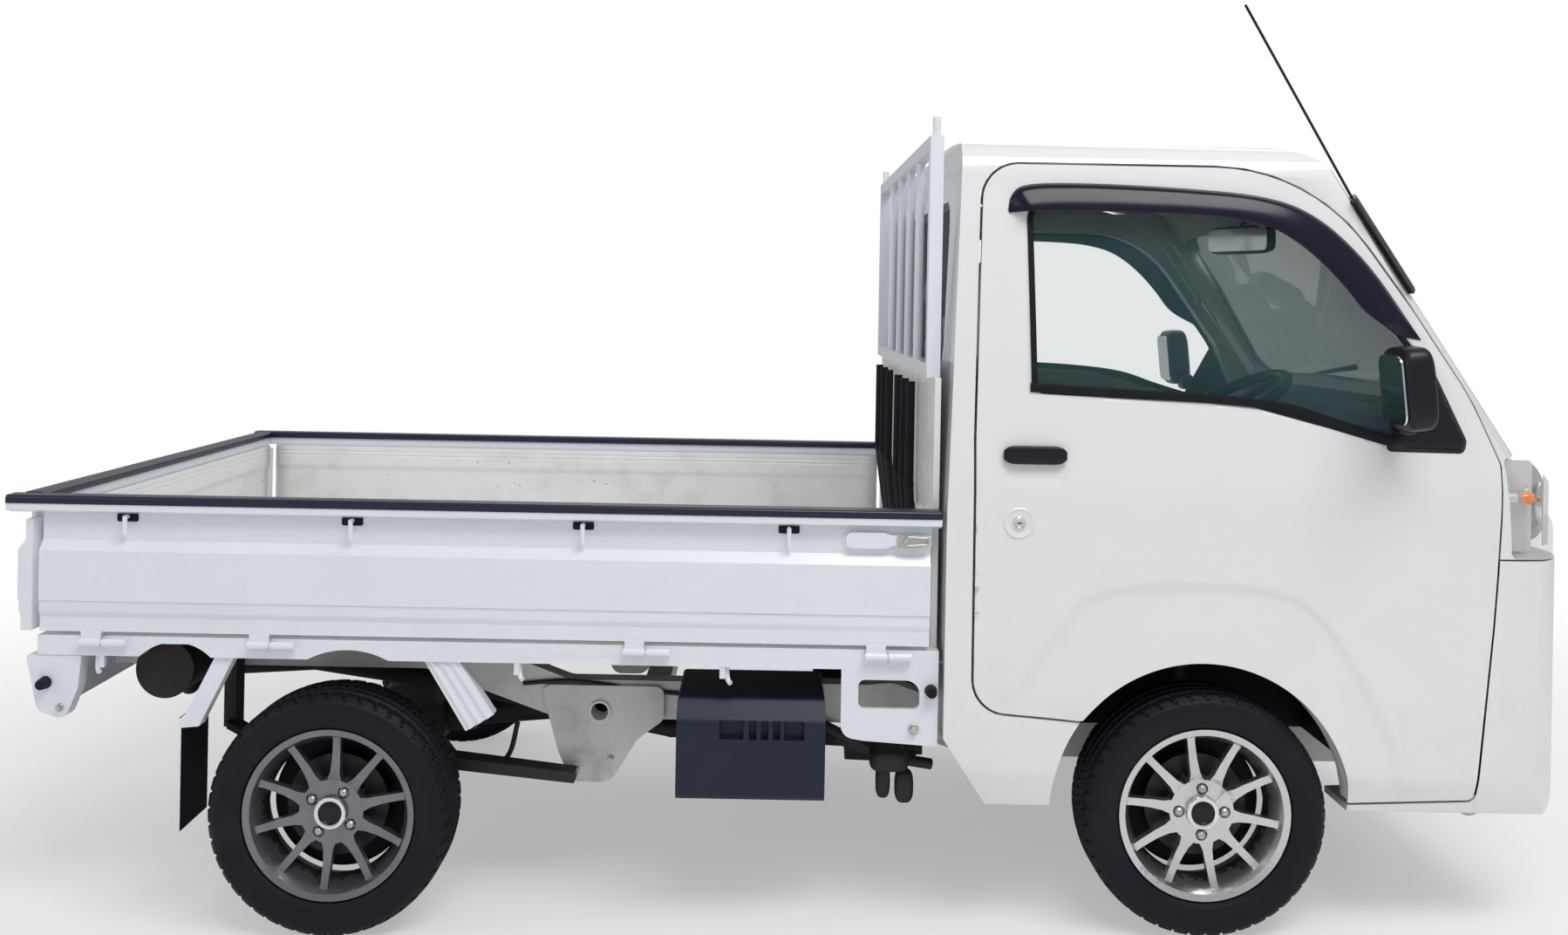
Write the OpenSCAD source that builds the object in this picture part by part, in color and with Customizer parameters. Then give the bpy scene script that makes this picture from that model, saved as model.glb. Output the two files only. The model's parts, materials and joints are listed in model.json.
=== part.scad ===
// Small cab-over flatbed truck with a drop-side bed, standing on its wheels.
// Millimetres. +X is the front, +Y the left side, +Z up, origin on the ground under the middle.
// All pieces are drawn in the body's own level frame, then leaned nose down by the rake.

/* [Stance] */
// Distance between the axles
wheelbase = 1900; // [1860:10:1940]
// Front axle ahead of the truck's middle
front_axle_x = 890; // [880:2:900]
// Nose-down rake of the empty truck, in degrees
rake = 1.05; // [0.8:0.05:1.3]
// Distance between the middles of a pair of tyres
track = 1304; // [1290:2:1310]

/* [Wheels] */
// Outside diameter of a tyre
tyre_d = 530; // [522:2:536]
// Section width of a tyre
tyre_w = 164; // [156:2:168]
// Outside diameter of the rim flanges
rim_d = 376; // [370:2:384]
// Number of spokes
spoke_count = 10; // [8:1:12]
// Bolt circle of the wheel nuts
nut_pcd = 100; // [96:1:110]
// Radius of the stub axles
stub_r = 17; // [15:0.5:19]
// Running clearance at pins and stubs
run_gap = 0.06; // [0.03:0.01:0.09]
// Clearance between pieces that are fixed to each other
seat_gap = 0.3; // [0.2:0.05:0.4]

/* [Cab] */
// Half of the cab's width
half_w = 735; // [725:1:740]
// Rear face of the cab
cab_rear_x = 312; // [308:1:318]
// Underside of the cab's sills
sill_z = 298; // [290:1:305]
// Thickness of a door
door_t = 46; // [40:1:50]
// Depth of the pillars around a door
pillar_t = 74; // [68:1:80]
// Thickness of the roof and rear wall
wall_t = 40; // [34:1:46]
// Thickness of the front panel and bumper
nose_t = 60; // [54:1:62]
// Gap round a door
door_gap = 6; // [5:0.5:7]
// Thickness of the glass
glass_t = 6; // [5:0.5:8]
// Radius of a front wheel arch
arch_r = 322; // [318:1:326]
// Height of the footwell floor's underside
foot_z = 380; // [374:1:386]
// Height of the seat platform's underside
deck_z = 645; // [640:1:655]
// Thickness of the floor plates
floor_t = 18; // [14:1:22]

/* [Bed] */
// Rear end of the bed rails
bed_rear_x = -1714; // [-1718:1:-1708]
// Front end of the bed
bed_front_x = 302; // [296:1:304]
// Half of the bed's width over its rails
bed_half = 737; // [733:1:738]
// Top of the bed floor
bed_floor_z = 627; // [622:1:632]
// Top of the edge covers
rail_top_z = 932; // [926:1:938]
// Radius of the gate hinge pins
pin_r = 5; // [4.5:0.25:5.5]
// Clearance round a gate
gate_gap = 6; // [5:0.5:7]
// Top of the guard frame's head bar
guard_top_z = 1752; // [1740:2:1764]
// Radius of the pegs on the guard frame
peg_r = 9; // [8:0.5:10]
// Height of the pegs on the guard frame
peg_h = 42; // [36:1:46]

/* [Chassis] */
// Outer face of the rear frame rails
rail_y = 460; // [454:1:466]
// Width of a frame rail
rail_w = 50; // [46:1:54]
// Outer face of the front frame rails
nose_rail_y = 370; // [366:1:374]
// Radius of the hole through a spring hanger
hanger_hole_r = 20; // [17:1:22]
// Radius of the hole in a towing eye
tow_hole_r = 16; // [14:1:18]
// Steering wheel rim diameter
wheel_rim_d = 370; // [360:2:380]

/* [Hidden] */
$fn = 48;

paint = [0.93, 0.93, 0.93];
dark = [0.10, 0.11, 0.16];
black = [0.05, 0.05, 0.06];
alloy = [0.55, 0.56, 0.58];
glass = [0.55, 0.75, 0.80, 0.35];

// Outlines: points carry a corner radius, and rounded() turns each corner into an arc.

function unit(v) = v / norm(v);
function flat(p) = [p[0], p[1]];
function cross_z(a, b) = a[0] * b[1] - a[1] * b[0];

function arc_points(p, q, r, radius, steps) =
    let (a = unit(p - q), b = unit(r - q), half = acos(a * b) / 2)
    let (c = q + unit(a + b) * radius / sin(half), s = q + a * radius / tan(half) - c)
    let (e = q + b * radius / tan(half) - c, turn = atan2(cross_z(s, e), s * e))
    [for (i = [0 : steps]) let (w = turn * i / steps)
        c + [s[0] * cos(w) - s[1] * sin(w), s[0] * sin(w) + s[1] * cos(w)]];

function rounded(pts, steps = 6) = [for (i = [0 : len(pts) - 1])
    let (n = len(pts), p = flat(pts[(i + n - 1) % n]), q = flat(pts[i]), r = flat(pts[(i + 1) % n]))
    each pts[i][2] > 0 ? arc_points(p, q, r, pts[i][2], steps) : [q]];

// An anticlockwise outline moved inwards by d, with its corner radii changed to match.
function inset(pts, d) = [for (i = [0 : len(pts) - 1])
    let (n = len(pts), p = flat(pts[(i + n - 1) % n]), q = flat(pts[i]), r = flat(pts[(i + 1) % n]))
    let (a = unit(q - p), b = unit(r - q), na = [-a[1], a[0]], nb = [-b[1], b[0]])
    let (v = q + (na + nb) * d / (1 + na * nb))
    [v[0], v[1], pts[i][2] == 0 ? 0 : max(pts[i][2] - sign(cross_z(a, b)) * d, 1)]];

// The extrusions: an (x, z) outline along Y, a (y, z) outline along X, and a rod between two points.

module along_y(y0, y1) translate([0, y1, 0]) rotate([90, 0, 0]) linear_extrude(y1 - y0) children();
module along_x(x0, x1) translate([x0, 0, 0]) rotate([90, 0, 90]) linear_extrude(x1 - x0) children();
module box(lo, hi) translate(lo) cube(hi - lo);
module on_side(s) { if (s > 0) children(); else mirror([0, 1, 0]) children(); }
module pair() { children(); mirror([0, 1, 0]) children(); }
module stance() rotate([0, rake, 0]) children();

module rod(a, b, r) {
    d = b - a;
    translate(a) rotate([0, acos(d[2] / norm(d)), atan2(d[1], d[0])]) cylinder(r = r, h = norm(d));
}

module pipe_run(route, r, swell) {
    for (i = [0 : len(route) - 2]) rod(route[i], route[i + 1], r);
    for (i = [1 : len(route) - 2]) translate(route[i]) rotate([50, 35, 0]) sphere(r = r + swell);
}

// Places worked out from the driving sizes.

tyre_r = tyre_d / 2;
wheel_y = track / 2;
rear_axle_x = front_axle_x - wheelbase;
// Hub centres in the body's level frame, so that after the rake the tyres stand on the ground
function level(x, z) = [x * cos(rake) - z * sin(rake), x * sin(rake) + z * cos(rake)];
front_hub = level(front_axle_x, tyre_r);
rear_hub = level(rear_axle_x, tyre_r);

// Side view of the cab: x, z, corner radius
nose_x = 1685;
cab_side = [
    [cab_rear_x, sill_z, 0], [1625, sill_z, 50], [1668, 352, 60], [nose_x, 600, 200],
    [1674, 705, 150], [1671, 840, 60], [1666, 1006, 70], [1606, 1068, 60], [1558, 1160, 90],
    [1170, 1732, 330], [640, 1788, 2500], [cab_rear_x + 34, 1784, 60], [cab_rear_x, 930, 800]
];
// Front view of the cab: y, z, corner radius
roof_half = half_w - 80;
cab_section = [
    [-half_w + 19, sill_z - 4, 10], [half_w - 19, sill_z - 4, 10], [half_w, 372, 150],
    [half_w, 985, 700], [roof_half, 1738, 80], [0, 1790, 5000], [-roof_half, 1738, 80],
    [-half_w, 985, 700], [-half_w, 372, 150]
];
// Plan of the nose: x, y, corner radius
nose_plan = [
    [0, -half_w - 6, 0], [1668, -half_w - 6, 132], [nose_x + 8, 0, 16000], [1668, half_w + 6, 132],
    [0, half_w + 6, 0]
];
// The windscreen leans back from its foot; its plan curves round to the pillars
screen_foot = [1517, 1159];
screen_lean = 33.4;
screen_half = half_w - 11;
screen_plan = [
    [-1400, -screen_half - 76, 0], [0, -screen_half, 150], [62, 0, 6300], [0, screen_half, 150],
    [-1400, screen_half + 76, 0]
];

module on_screen() translate([screen_foot[0], 0, screen_foot[1]]) rotate([0, -screen_lean, 0]) children();

// The whole cab as a solid, taken in by d on every side
module cab_solid(d) intersection() {
    along_y(-900, 900) polygon(rounded(inset(cab_side, d)));
    along_x(100, 1800) polygon(rounded(inset(cab_section, d)));
    linear_extrude(2000) polygon(rounded(inset(nose_plan, d)));
    on_screen() translate([0, 0, -1500]) linear_extrude(3000) polygon(rounded(inset(screen_plan, d)));
}

// Side view of a door: x, z, corner radius; the wheel arch is cut out of it afterwards
arch_x = front_hub[0] - 17;
arch_z = front_hub[1] + 15;
door_foot_z = 318;
// The inner panel of a door stands back from the edge of its skin
skin_t = 3;
hem = 5;
rebate_gap = 15;
door_side = [
    [376, 506, 72], [arch_x - 200, 484, 0], [arch_x, 400, 0], [arch_x + arch_r, door_foot_z, 0],
    [1457, door_foot_z + 12, 12], [1489, 700, 400], [1511, 1052, 40], [1452, 1199, 400],
    [1109, 1690, 400], [390, 1690, 80], [374, 1090, 900]
];
// Window opening of a door, with the corner that the mirror stands on
window_side = [
    [494, 1193, 22], [960, 1172, 300], [1140, 1128, 200], [1262, 1094, 80], [1426, 1084, 26],
    [1345, 1268, 250], [1092, 1612, 330], [484, 1612, 42]
];
// Windscreen opening on the leaning front: across, up the slope, corner radius
open_foot = half_w - 93;
open_head = half_w - 163;
screen_open = [[-open_foot, 24, 70], [open_foot, 24, 70], [open_head, 532, 80], [-open_head, 532, 80]];
// Rear window opening: y, z, corner radius
rear_half = half_w - 215;
rear_open = [
    [-rear_half, 1230, 60], [rear_half, 1230, 60], [rear_half - 20, 1620, 60], [-rear_half + 20, 1620, 60]
];
// Headlamp in side view: x, z, corner radius
bumper_top_z = 847;
lamp_foot_z = bumper_top_z + 5;
lamp_side = [[1530, lamp_foot_z, 14], [1720, lamp_foot_z, 0], [1720, 1068, 0], [1526, 1064, 14]];
lamp_inner_y = half_w - 265;
pillar_y = half_w - 135;
roof_z = 1700;

module wheel_arches(r) translate([arch_x, 0, arch_z]) rotate([90, 0, 0])
    difference() {
        cylinder(r = r, h = 2000, center = true, $fn = 96);
        cylinder(r = r + 1, h = 2 * well_y, center = true);
    }

module door_area(d) along_y(0, 900) polygon(rounded(inset(door_side, d)));
module screen_prism() on_screen() translate([-200, 0, 0]) rotate([90, 0, 90]) linear_extrude(400) children();
module screen_area(d) screen_prism() polygon(rounded(inset(screen_open, d)));
module lamp_area(d) along_y(lamp_inner_y + d, 900) polygon(rounded(inset(lamp_side, d)));
module cab_shell(t) difference() { cab_solid(0); cab_solid(t); }

// Cab panels

module cab_sides() color(paint) pair() {
    difference() {
        intersection() {
            cab_shell(pillar_t);
            box([0, pillar_y, 0], [1800, 900, roof_z]);
        }
        // The nose panels cover the front of the ring
        difference() {
            nose_area();
            cab_solid(nose_t + 0.3);
        }
        box([post_x[1], 0, 0], [1800, 900, 1204]);
        // Rebate for the door, and the doorway through it
        difference() {
            door_area(-door_gap);
            cab_solid(door_t + rebate_gap);
        }
        door_area(24);
        wheel_arches(arch_r);
        screen_area(0);
        hinge_pockets();
    }
    hinge_post();
}

// Front post that carries the door hinges
hinge_x = 1533;
hinge_y = half_w - 19;
hinge_zs = [560, 790];
hinge_pin_r = 6;
knuckle_h = 36;
post_x = [1500, 1542];
post_y = half_w - 92;

module hinge_post() {
    box([post_x[0], pillar_y, foot_z + floor_t], [post_x[1], post_y, 900]);
    // Joined to the ring between the hinges and below them
    for (z = [[foot_z + floor_t, hinge_zs[0] - 48], [hinge_zs[0] + 40, hinge_zs[1] - 48]])
        box([post_x[0], post_y - 1, z[0]], [post_x[0] + 26, half_w - nose_t - 2, z[1]]);
    for (z = hinge_zs) {
        box([hinge_x - 9, post_y - 2, z - 36], [hinge_x + 12, hinge_y + 9, z - 22]);
        translate([hinge_x, hinge_y, z - 30]) cylinder(r = hinge_pin_r, h = 56);
    }
}

module hinge_pockets() for (z = hinge_zs)
    box([1380, half_w - 100, z - 42], [hinge_x + 24, half_w - 3.5, z + 34]);

module cab_roof() color(paint) difference() {
    intersection() {
        cab_shell(wall_t);
        union() {
            box([0, -900, roof_z], [1800, 900, 2000]);
            box([900, -pillar_y, 1560], [1800, pillar_y, roof_z]);
        }
    }
    screen_area(0);
}

module cab_back() color(paint) difference() {
    intersection() {
        cab_shell(wall_t);
        box([0, -pillar_y, 470], [500, pillar_y, roof_z]);
    }
    along_x(0, 600) polygon(rounded(rear_open));
}

module rear_window() color(glass) intersection() {
    difference() { cab_solid(14); cab_solid(14 + glass_t); }
    along_x(0, 500) polygon(rounded(inset(rear_open, 0.3)));
}

module windscreen() color(glass) intersection() {
    difference() { cab_solid(8); cab_solid(8 + glass_t); }
    screen_area(0.3);
}

module nose_area() along_y(-900, 900)
    polygon([[1463, 330], [1494, 700], [1517, 1060], [1459, 1204], [1800, 1204], [1800, 0], [1463, 0]]);

module front_panel() color(paint) difference() {
    intersection() {
        cab_shell(nose_t);
        nose_area();
        box([0, -900, bumper_top_z + 4], [1800, 900, 1204]);
    }
    screen_area(0);
    pair() lamp_area(-0.6);
    pair() hinge_pockets();
}

grille_half = half_w - 305;
bumper_open = [
    [-grille_half, 400, 30], [grille_half, 400, 30], [grille_half - 30, 560, 30], [-grille_half + 30, 560, 30]
];

module front_bumper() color(paint) {
    difference() {
        intersection() {
            cab_shell(nose_t);
            nose_area();
            box([0, -900, 0], [1800, 900, bumper_top_z]);
        }
        along_x(1500, 1800) polygon(rounded(bumper_open));
        pair() hinge_pockets();
        // Open underneath, with a return lip along the front
        box([1400, -half_w + nose_t, 0], [1585, half_w - nose_t, 420]);
    }
}

slat_zs = [425, 460, 495, 530];

module bumper_grille() color(black) intersection() {
    difference() { cab_solid(18); cab_solid(46); }
    along_x(1500, 1800) polygon(rounded(inset(bumper_open, 0.3)));
    union() {
        for (z = slat_zs) box([1500, -grille_half, z - 8], [1800, grille_half, z + 8]);
        for (i = [-3 : 3]) let (y = i * grille_half / 3.5)
            box([1500, y - 5, 390], [1800, y + 5, 570]);
        difference() {
            box([1500, -half_w, 390], [1800, half_w, 570]);
            along_x(1400, 1900) polygon(rounded(inset(bumper_open, 14)));
        }
    }
}

module headlamps() color(glass) pair() difference() {
    intersection() {
        difference() { cab_solid(3); cab_solid(nose_t - 4); }
        lamp_area(0.3);
    }
    box([1400, 0, 700], [1592, half_w - nose_t + 2, 1100]);
}

// Floor, with the footwell ahead of the wheels and the seat deck over them
well_y = 395;
well_front_x = arch_x + arch_r + 26;
well_rear_x = arch_x - arch_r - 20;
floor_half = half_w - pillar_t - 4;
foot_front_x = 1590;
deck_rear_x = cab_rear_x + wall_t;

module cab_floor() color(paint) {
    box([well_front_x, -floor_half, foot_z], [foot_front_x, floor_half, foot_z + floor_t]);
    box([deck_rear_x, -pillar_y + 2, deck_z], [well_front_x + floor_t, pillar_y - 2, deck_z + floor_t]);
    box([deck_rear_x + pillar_t, -floor_half, deck_z], [well_front_x + floor_t, floor_half, deck_z + floor_t]);
    box([well_front_x, -floor_half, foot_z], [well_front_x + floor_t, floor_half, deck_z + floor_t]);
    pair() {
        box([well_rear_x - floor_t, well_y - floor_t, foot_z],
            [well_front_x + 1, well_y, deck_z + 1]);
        box([well_rear_x - floor_t, well_y - floor_t, foot_z], [well_rear_x, floor_half, deck_z + 1]);
    }
    box([deck_rear_x, -pillar_y + 2, 470], [deck_rear_x + floor_t, pillar_y - 2, deck_z + 1]);
}

// Dashboard: x, z, corner radius
dash_side = [
    [1400, 880, 40], [1510, 880, 30], [1540, 960, 40], [1430, 1150, 16], [1390, 1158, 30],
    [1330, 1120, 40], [1350, 980, 60]
];

module dashboard() color(dark) along_y(-pillar_y + 0.4, pillar_y - 0.4) polygon(rounded(dash_side));

seat_y = half_w - 405;
seat_half = 235;
seat_cushion = [[480, 690, 30], [930, 690, 40], [950, 800, 40], [500, 770, 30]];
seat_back = [[430, 760, 30], [540, 770, 40], [470, 1330, 34], [390, 1330, 26]];
seat_head = [[392, 1318, 16], [470, 1318, 16], [455, 1500, 24], [385, 1500, 24]];

module seats() color([0.35, 0.36, 0.38]) pair() {
    along_y(seat_y - seat_half, seat_y + seat_half) polygon(rounded(seat_cushion));
    along_y(seat_y - seat_half + 2, seat_y + seat_half - 2) polygon(rounded(seat_back));
    along_y(seat_y - 120, seat_y + 120) polygon(rounded(seat_head));
    box([520, seat_y - 180, deck_z + floor_t], [880, seat_y + 180, 720]);
}

// Steering wheel on a column that leans forward
wheel_centre = [1030, -seat_y, 1135];
wheel_tilt = 30;
column_drop = wheel_centre[2] - foot_z - floor_t - 20;
column_len = column_drop / cos(wheel_tilt);

module steering_wheel() color(black) translate(wheel_centre) rotate([0, -wheel_tilt, 0]) {
    rotate_extrude($fn = 72) translate([wheel_rim_d / 2 - 14, 0]) circle(r = 14, $fn = 24);
    difference() {
        translate([0, 0, -30]) cylinder(r = 52, h = 38);
        translate([0, 0, -31]) cylinder(r = 12 + run_gap, h = 26);
    }
    for (w = [0, 180, 270]) rotate([0, 0, w])
        translate([40, -16, -12]) cube([wheel_rim_d / 2 - 14 - 40, 32, 14]);
}

module steering_column() color(black) {
    translate(wheel_centre) rotate([0, -wheel_tilt, 0]) {
        translate([0, 0, -60]) cylinder(r = 12, h = 54);
        translate([0, 0, -column_len]) cylinder(r = 36, h = column_len - 40);
    }
    translate([wheel_centre[0] + column_drop * tan(wheel_tilt), wheel_centre[1], foot_z + floor_t])
        cylinder(r = 66, h = 44);
}

// Wiper pivots on the cowl, each with a blade parked along the foot of the glass
wiper_ys = [-40, half_w - 215];
wiper_len = 480;

module wipers() color(black) for (y = wiper_ys) {
    intersection() {
        difference() { cab_solid(-15); cab_solid(0); }
        screen_prism() translate([y, 0]) circle(r = 17);
    }
    intersection() {
        difference() { cab_solid(-14); cab_solid(-4); }
        screen_prism() polygon([[y - 8, -6], [y + 10, -4], [y - wiper_len, 62], [y - wiper_len, 48]]);
    }
}

// Ladder frame: side band and plan band of one rail
rail_h = 90;
rear_rail_z = 590;
mid_rail_z = 480;
frame_rear_x = bed_rear_x + 114;
frame_front_x = 1560;
rail_side = [
    [frame_rear_x, rear_rail_z - rail_h, 0], [-870, rear_rail_z - rail_h, 60],
    [-560, mid_rail_z - rail_h, 60], [190, mid_rail_z - rail_h, 60], [430, foot_z - rail_h, 60],
    [frame_front_x, foot_z - rail_h, 0], [frame_front_x, foot_z, 0], [470, foot_z, 60],
    [230, mid_rail_z, 60], [-530, mid_rail_z, 60], [-830, rear_rail_z, 60], [frame_rear_x, rear_rail_z, 0]
];
rail_plan = [
    [frame_rear_x, rail_y - rail_w], [150, rail_y - rail_w], [420, nose_rail_y - rail_w],
    [frame_front_x, nose_rail_y - rail_w], [frame_front_x, nose_rail_y], [440, nose_rail_y],
    [170, rail_y], [frame_rear_x, rail_y]
];
// Spring hanger plate in side view, measured from the rear axle
hanger_x = rear_axle_x + 502;
hanger_side = [
    [hanger_x - 90, 470, 20], [hanger_x - 46, 315, 20], [hanger_x - 14, 244, 30],
    [hanger_x + 78, 244, 40], [hanger_x + 138, 344, 30], [hanger_x + 200, 392, 20],
    [hanger_x + 200, 470, 20]
];
spring_eye = [hanger_x, 272];
plate_t = 12;

module frame_rail() color(paint) {
    difference() {
        union() {
            intersection() {
                along_y(0, 900) polygon(rounded(rail_side, 4));
                linear_extrude(1000) polygon(rail_plan);
            }
            along_y(rail_y - 1, rail_y + plate_t) polygon(rounded(hanger_side, 4));
        }
        translate([hanger_x + 50, 0, 410]) rotate([-90, 0, 0]) cylinder(r = hanger_hole_r, h = 900);
    }
    // Towing eye under the front end
    difference() {
        along_y(nose_rail_y - 22, nose_rail_y - 10)
            polygon(rounded([[1470, foot_z - rail_h + 1, 0], [1490, 232, 24], [1560, 232, 30],
                [1560, foot_z - rail_h + 1, 0]]));
        translate([1526, 0, 264]) rotate([-90, 0, 0]) cylinder(r = tow_hole_r, h = 900);
    }
}

module crossmembers() color(paint) {
    for (c = frame_crossmembers) let (inner = (c[0] > 300 ? nose_rail_y : rail_y) - rail_w - seat_gap)
        box([c[0] - 30, -inner, c[1]], [c[0] + 30, inner, c[1] + 60]);
}

// Cross members: x, underside
frame_crossmembers = [[frame_rear_x + 40, 515], [-860, 515], [-330, 405], [frame_front_x - 60, 305]];

module powertrain() color([0.3, 0.3, 0.32]) {
    along_x(440, 850) polygon(rounded([[-210, 250, 30], [210, 250, 30], [240, 630, 30], [-240, 630, 30]]));
    along_x(250, 441) polygon(rounded([[-150, 270, 40], [150, 270, 40], [150, 456, 40], [-150, 456, 40]]));
    translate([60, 0, 350]) rotate([0, 90, 0]) cylinder(r = 62, h = 200);
    pair() box([600, 200, 310], [680, nose_rail_y - rail_w, 370]);
}

diff_r = 105;
axle_tube_r = 34;

module rear_axle() color([0.12, 0.12, 0.13]) {
    translate([rear_hub[0], 0, rear_hub[1]]) {
        rotate([90, 0, 0]) cylinder(r = axle_tube_r, h = 2 * (wheel_y - 92), center = true);
        rotate([90, 0, 0]) cylinder(r = diff_r, h = 170, center = true);
        pair() {
            rotate([-90, 0, 0]) cylinder(r = stub_r, h = wheel_y + 30);
            translate([-60, rail_y + 20, axle_tube_r - 20]) cube([120, 60, 34]);
        }
    }
    rod([rear_hub[0] + 90, 0, rear_hub[1] + 8], [rear_hub[0] + 170, 0, rear_hub[1] + 14], 45);
}

module prop_shaft() color([0.2, 0.2, 0.22])
    rod([56.5, 0, 345], [rear_hub[0] + 171, 0, rear_hub[1] + 14.3], 34);

// Leaf springs: x, underside z, along the springs
spring_y = [rail_y + plate_t + 8, rail_y + plate_t + 58];
spring_top = rear_hub[1] + axle_tube_r + 14;
shackle_x = rear_axle_x - 300;
shackle_z = 380;

shackle_half = 14;
eye_pin_r = 11;

module leaf_springs() color([0.1, 0.1, 0.11]) pair() {
    along_y(spring_y[0], spring_y[1])
        polygon(concat(
            [[spring_eye[0], spring_eye[1] - 12], [rear_hub[0] + 150, spring_top],
             [rear_hub[0] - 150, spring_top], [shackle_x, shackle_z - 8]],
            [[shackle_x, shackle_z + 8], [rear_hub[0] - 170, spring_top + 26],
             [rear_hub[0] + 180, spring_top + 26], [spring_eye[0], spring_eye[1] + 12]]));
    // Front eye pin seated on the hanger plate, rear shackle seated on the rail
    translate([spring_eye[0] - 14, rail_y + plate_t + seat_gap, spring_eye[1]]) rotate([-90, 0, 0])
        cylinder(r = eye_pin_r, h = 40);
    box([shackle_x - shackle_half, rail_y + seat_gap, shackle_z - 10],
        [shackle_x + shackle_half, spring_y[0] + 30, rear_rail_z - rail_h + 50]);
}

muffler_x = frame_rear_x + 200;

pipe_r = 22;
pipe_route = [
    [440, -180, 320], [400, -180, 320], [300, -300, 300], [-300, -300, 320], [-820, -300, 420],
    [rear_axle_x - 170, -300, 470], [muffler_x, -360, 470], [muffler_x, -520, 470], [muffler_x, -560, 520]
];

module exhaust() color([0.12, 0.11, 0.11]) {
    pipe_run(pipe_route, pipe_r, 0.6);
    translate([muffler_x, -rail_y - 14, 540]) rotate([90, 0, 0]) cylinder(r = 64, h = 180);
    rod([130, -300, 305], [300, -300, 300], 52);
}

tank_x = [-230, 170];

module fuel_tank() color(black) along_x(tank_x[0], tank_x[1])
    polygon(rounded([[rail_y, 290, 30], [690, 290, 50], [690, 500, 50], [rail_y, 500, 0]]));

// Battery box: its end view (y, z, corner radius) and its side view (x, z, corner radius)
box_x = [-264, 60];
box_out = 712;
box_z = [286, 510];
battery_end = [
    [-box_out, box_z[0] + 4, 26], [-rail_y, box_z[0], 10], [-rail_y, box_z[1], 0],
    [-box_out + 36, box_z[1], 20], [-box_out, box_z[1] - 48, 30]
];
battery_side = [[box_x[0], 0, 0], [box_x[1], 0, 0], [box_x[1], box_z[1], 10], [box_x[0], box_z[1], 10]];
// Slots in the box: x of the start, width
box_slots = [[-170, 52], [-106, 16], [-80, 16], [-54, 16], [-30, 44]];
slot_z = [426, 466];

module battery_box() color(dark) difference() {
    intersection() {
        along_x(box_x[0], box_x[1]) polygon(rounded(battery_end));
        along_y(-900, 0) polygon(rounded(battery_side));
    }
    for (b = box_slots) box([b[0], -box_out - 8, slot_z[0]], [b[0] + b[1], -box_out + 22, slot_z[1]]);
}

// Bed: floor, sills with their scalloped edges, cross bearers and hinge pins
floor_plate = 15;
sill_out = bed_half - 22;
sill_in = sill_out - 36;
sill_low_z = 584;
hinge_axis_y = bed_half - 10;
hinge_axis_z = 615;
// Side gate hinges: x of the joint between the two barrels
gate_hinge_xs = [bed_rear_x + 209, bed_rear_x + 572, bed_front_x - 634, bed_front_x - 112];
tail_hinge_ys = [-480, 0, 480];
tail_axis_x = bed_rear_x + 24;
barrel_r = 9;
barrel_len = 50;
bed_in_x = bed_rear_x + 64;
bearer_xs = [
    bed_rear_x + 154, bed_rear_x + 434, rear_axle_x + 150, rear_axle_x + 590,
    bed_front_x - 282, bed_front_x - 32
];
rope_hook_xs = [bed_rear_x + 202, rear_axle_x + 398, bed_front_x - 468];
rib_count = 9;

// Skirt plate behind the cab and its opening: x, z, corner radius
skirt_side = [
    [bed_front_x - 210, 590, 0], [bed_front_x - 210, 438, 30], [bed_front_x - 162, 430, 60],
    [bed_front_x, 420, 0], [bed_front_x, 590, 0]
];
skirt_open = [
    [bed_front_x - 173, 500, 14], [bed_front_x - 40, 500, 14], [bed_front_x - 40, 562, 30],
    [bed_front_x - 173, 562, 14]
];

module bed_floor() color(paint) {
    box([bed_in_x, -sill_out, bed_floor_z - floor_plate], [bed_front_x, sill_out, bed_floor_z]);
    for (i = [0 : rib_count - 1]) let (y = (2 * i / (rib_count - 1) - 1) * (gate_in - 55))
        box([bed_in_x + 40, y - 36, bed_floor_z - 1], [bed_front_x - 50, y + 36, bed_floor_z + 8]);
    for (x = bearer_xs) box([x - 25, -sill_in - 1, rear_rail_z], [x + 25, sill_in + 1, bed_floor_z - 1]);
    pair() {
        difference() {
            box([bed_in_x, sill_in, sill_low_z], [bed_front_x, sill_out, bed_floor_z - 1]);
            for (c = sill_scallops) translate([c[0], 0, c[1]]) rotate([-90, 0, 0]) cylinder(r = c[2], h = 900);
        }
        // Skirt plate behind the cab
        difference() {
            along_y(sill_out - plate_t, sill_out) polygon(rounded(skirt_side));
            along_y(600, 900) polygon(rounded(skirt_open));
        }
        for (x = gate_hinge_xs) {
            translate([x, hinge_axis_y, hinge_axis_z]) rotate([0, 90, 0]) {
                translate([0, 0, 2]) cylinder(r = barrel_r, h = barrel_len);
                translate([0, 0, -barrel_len]) cylinder(r = pin_r, h = barrel_len + 10);
            }
            box([x + 4, sill_out - 1, hinge_axis_z - 14], [x + barrel_len, hinge_axis_y, hinge_axis_z + 6]);
        }
        for (x = rope_hook_xs) {
            box([x - 6, sill_out - 14, sill_low_z - 26], [x + 6, sill_out - 2, sill_low_z + 2]);
        }
    }
    for (y = tail_hinge_ys) {
        translate([tail_axis_x, y, hinge_axis_z]) rotate([-90, 0, 0]) {
            translate([0, 0, 2]) cylinder(r = barrel_r, h = barrel_len);
            translate([0, 0, -barrel_len]) cylinder(r = pin_r, h = barrel_len + 10);
        }
        box([tail_axis_x, y + 4, hinge_axis_z - 8], [bed_in_x + 1, y + barrel_len, hinge_axis_z + 8]);
    }
}

// Scallops in the sills: x, z, radius
sill_scallops = [[rear_axle_x - 342, 506, 110], [rear_axle_x + 32, 420, 186]];

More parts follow.
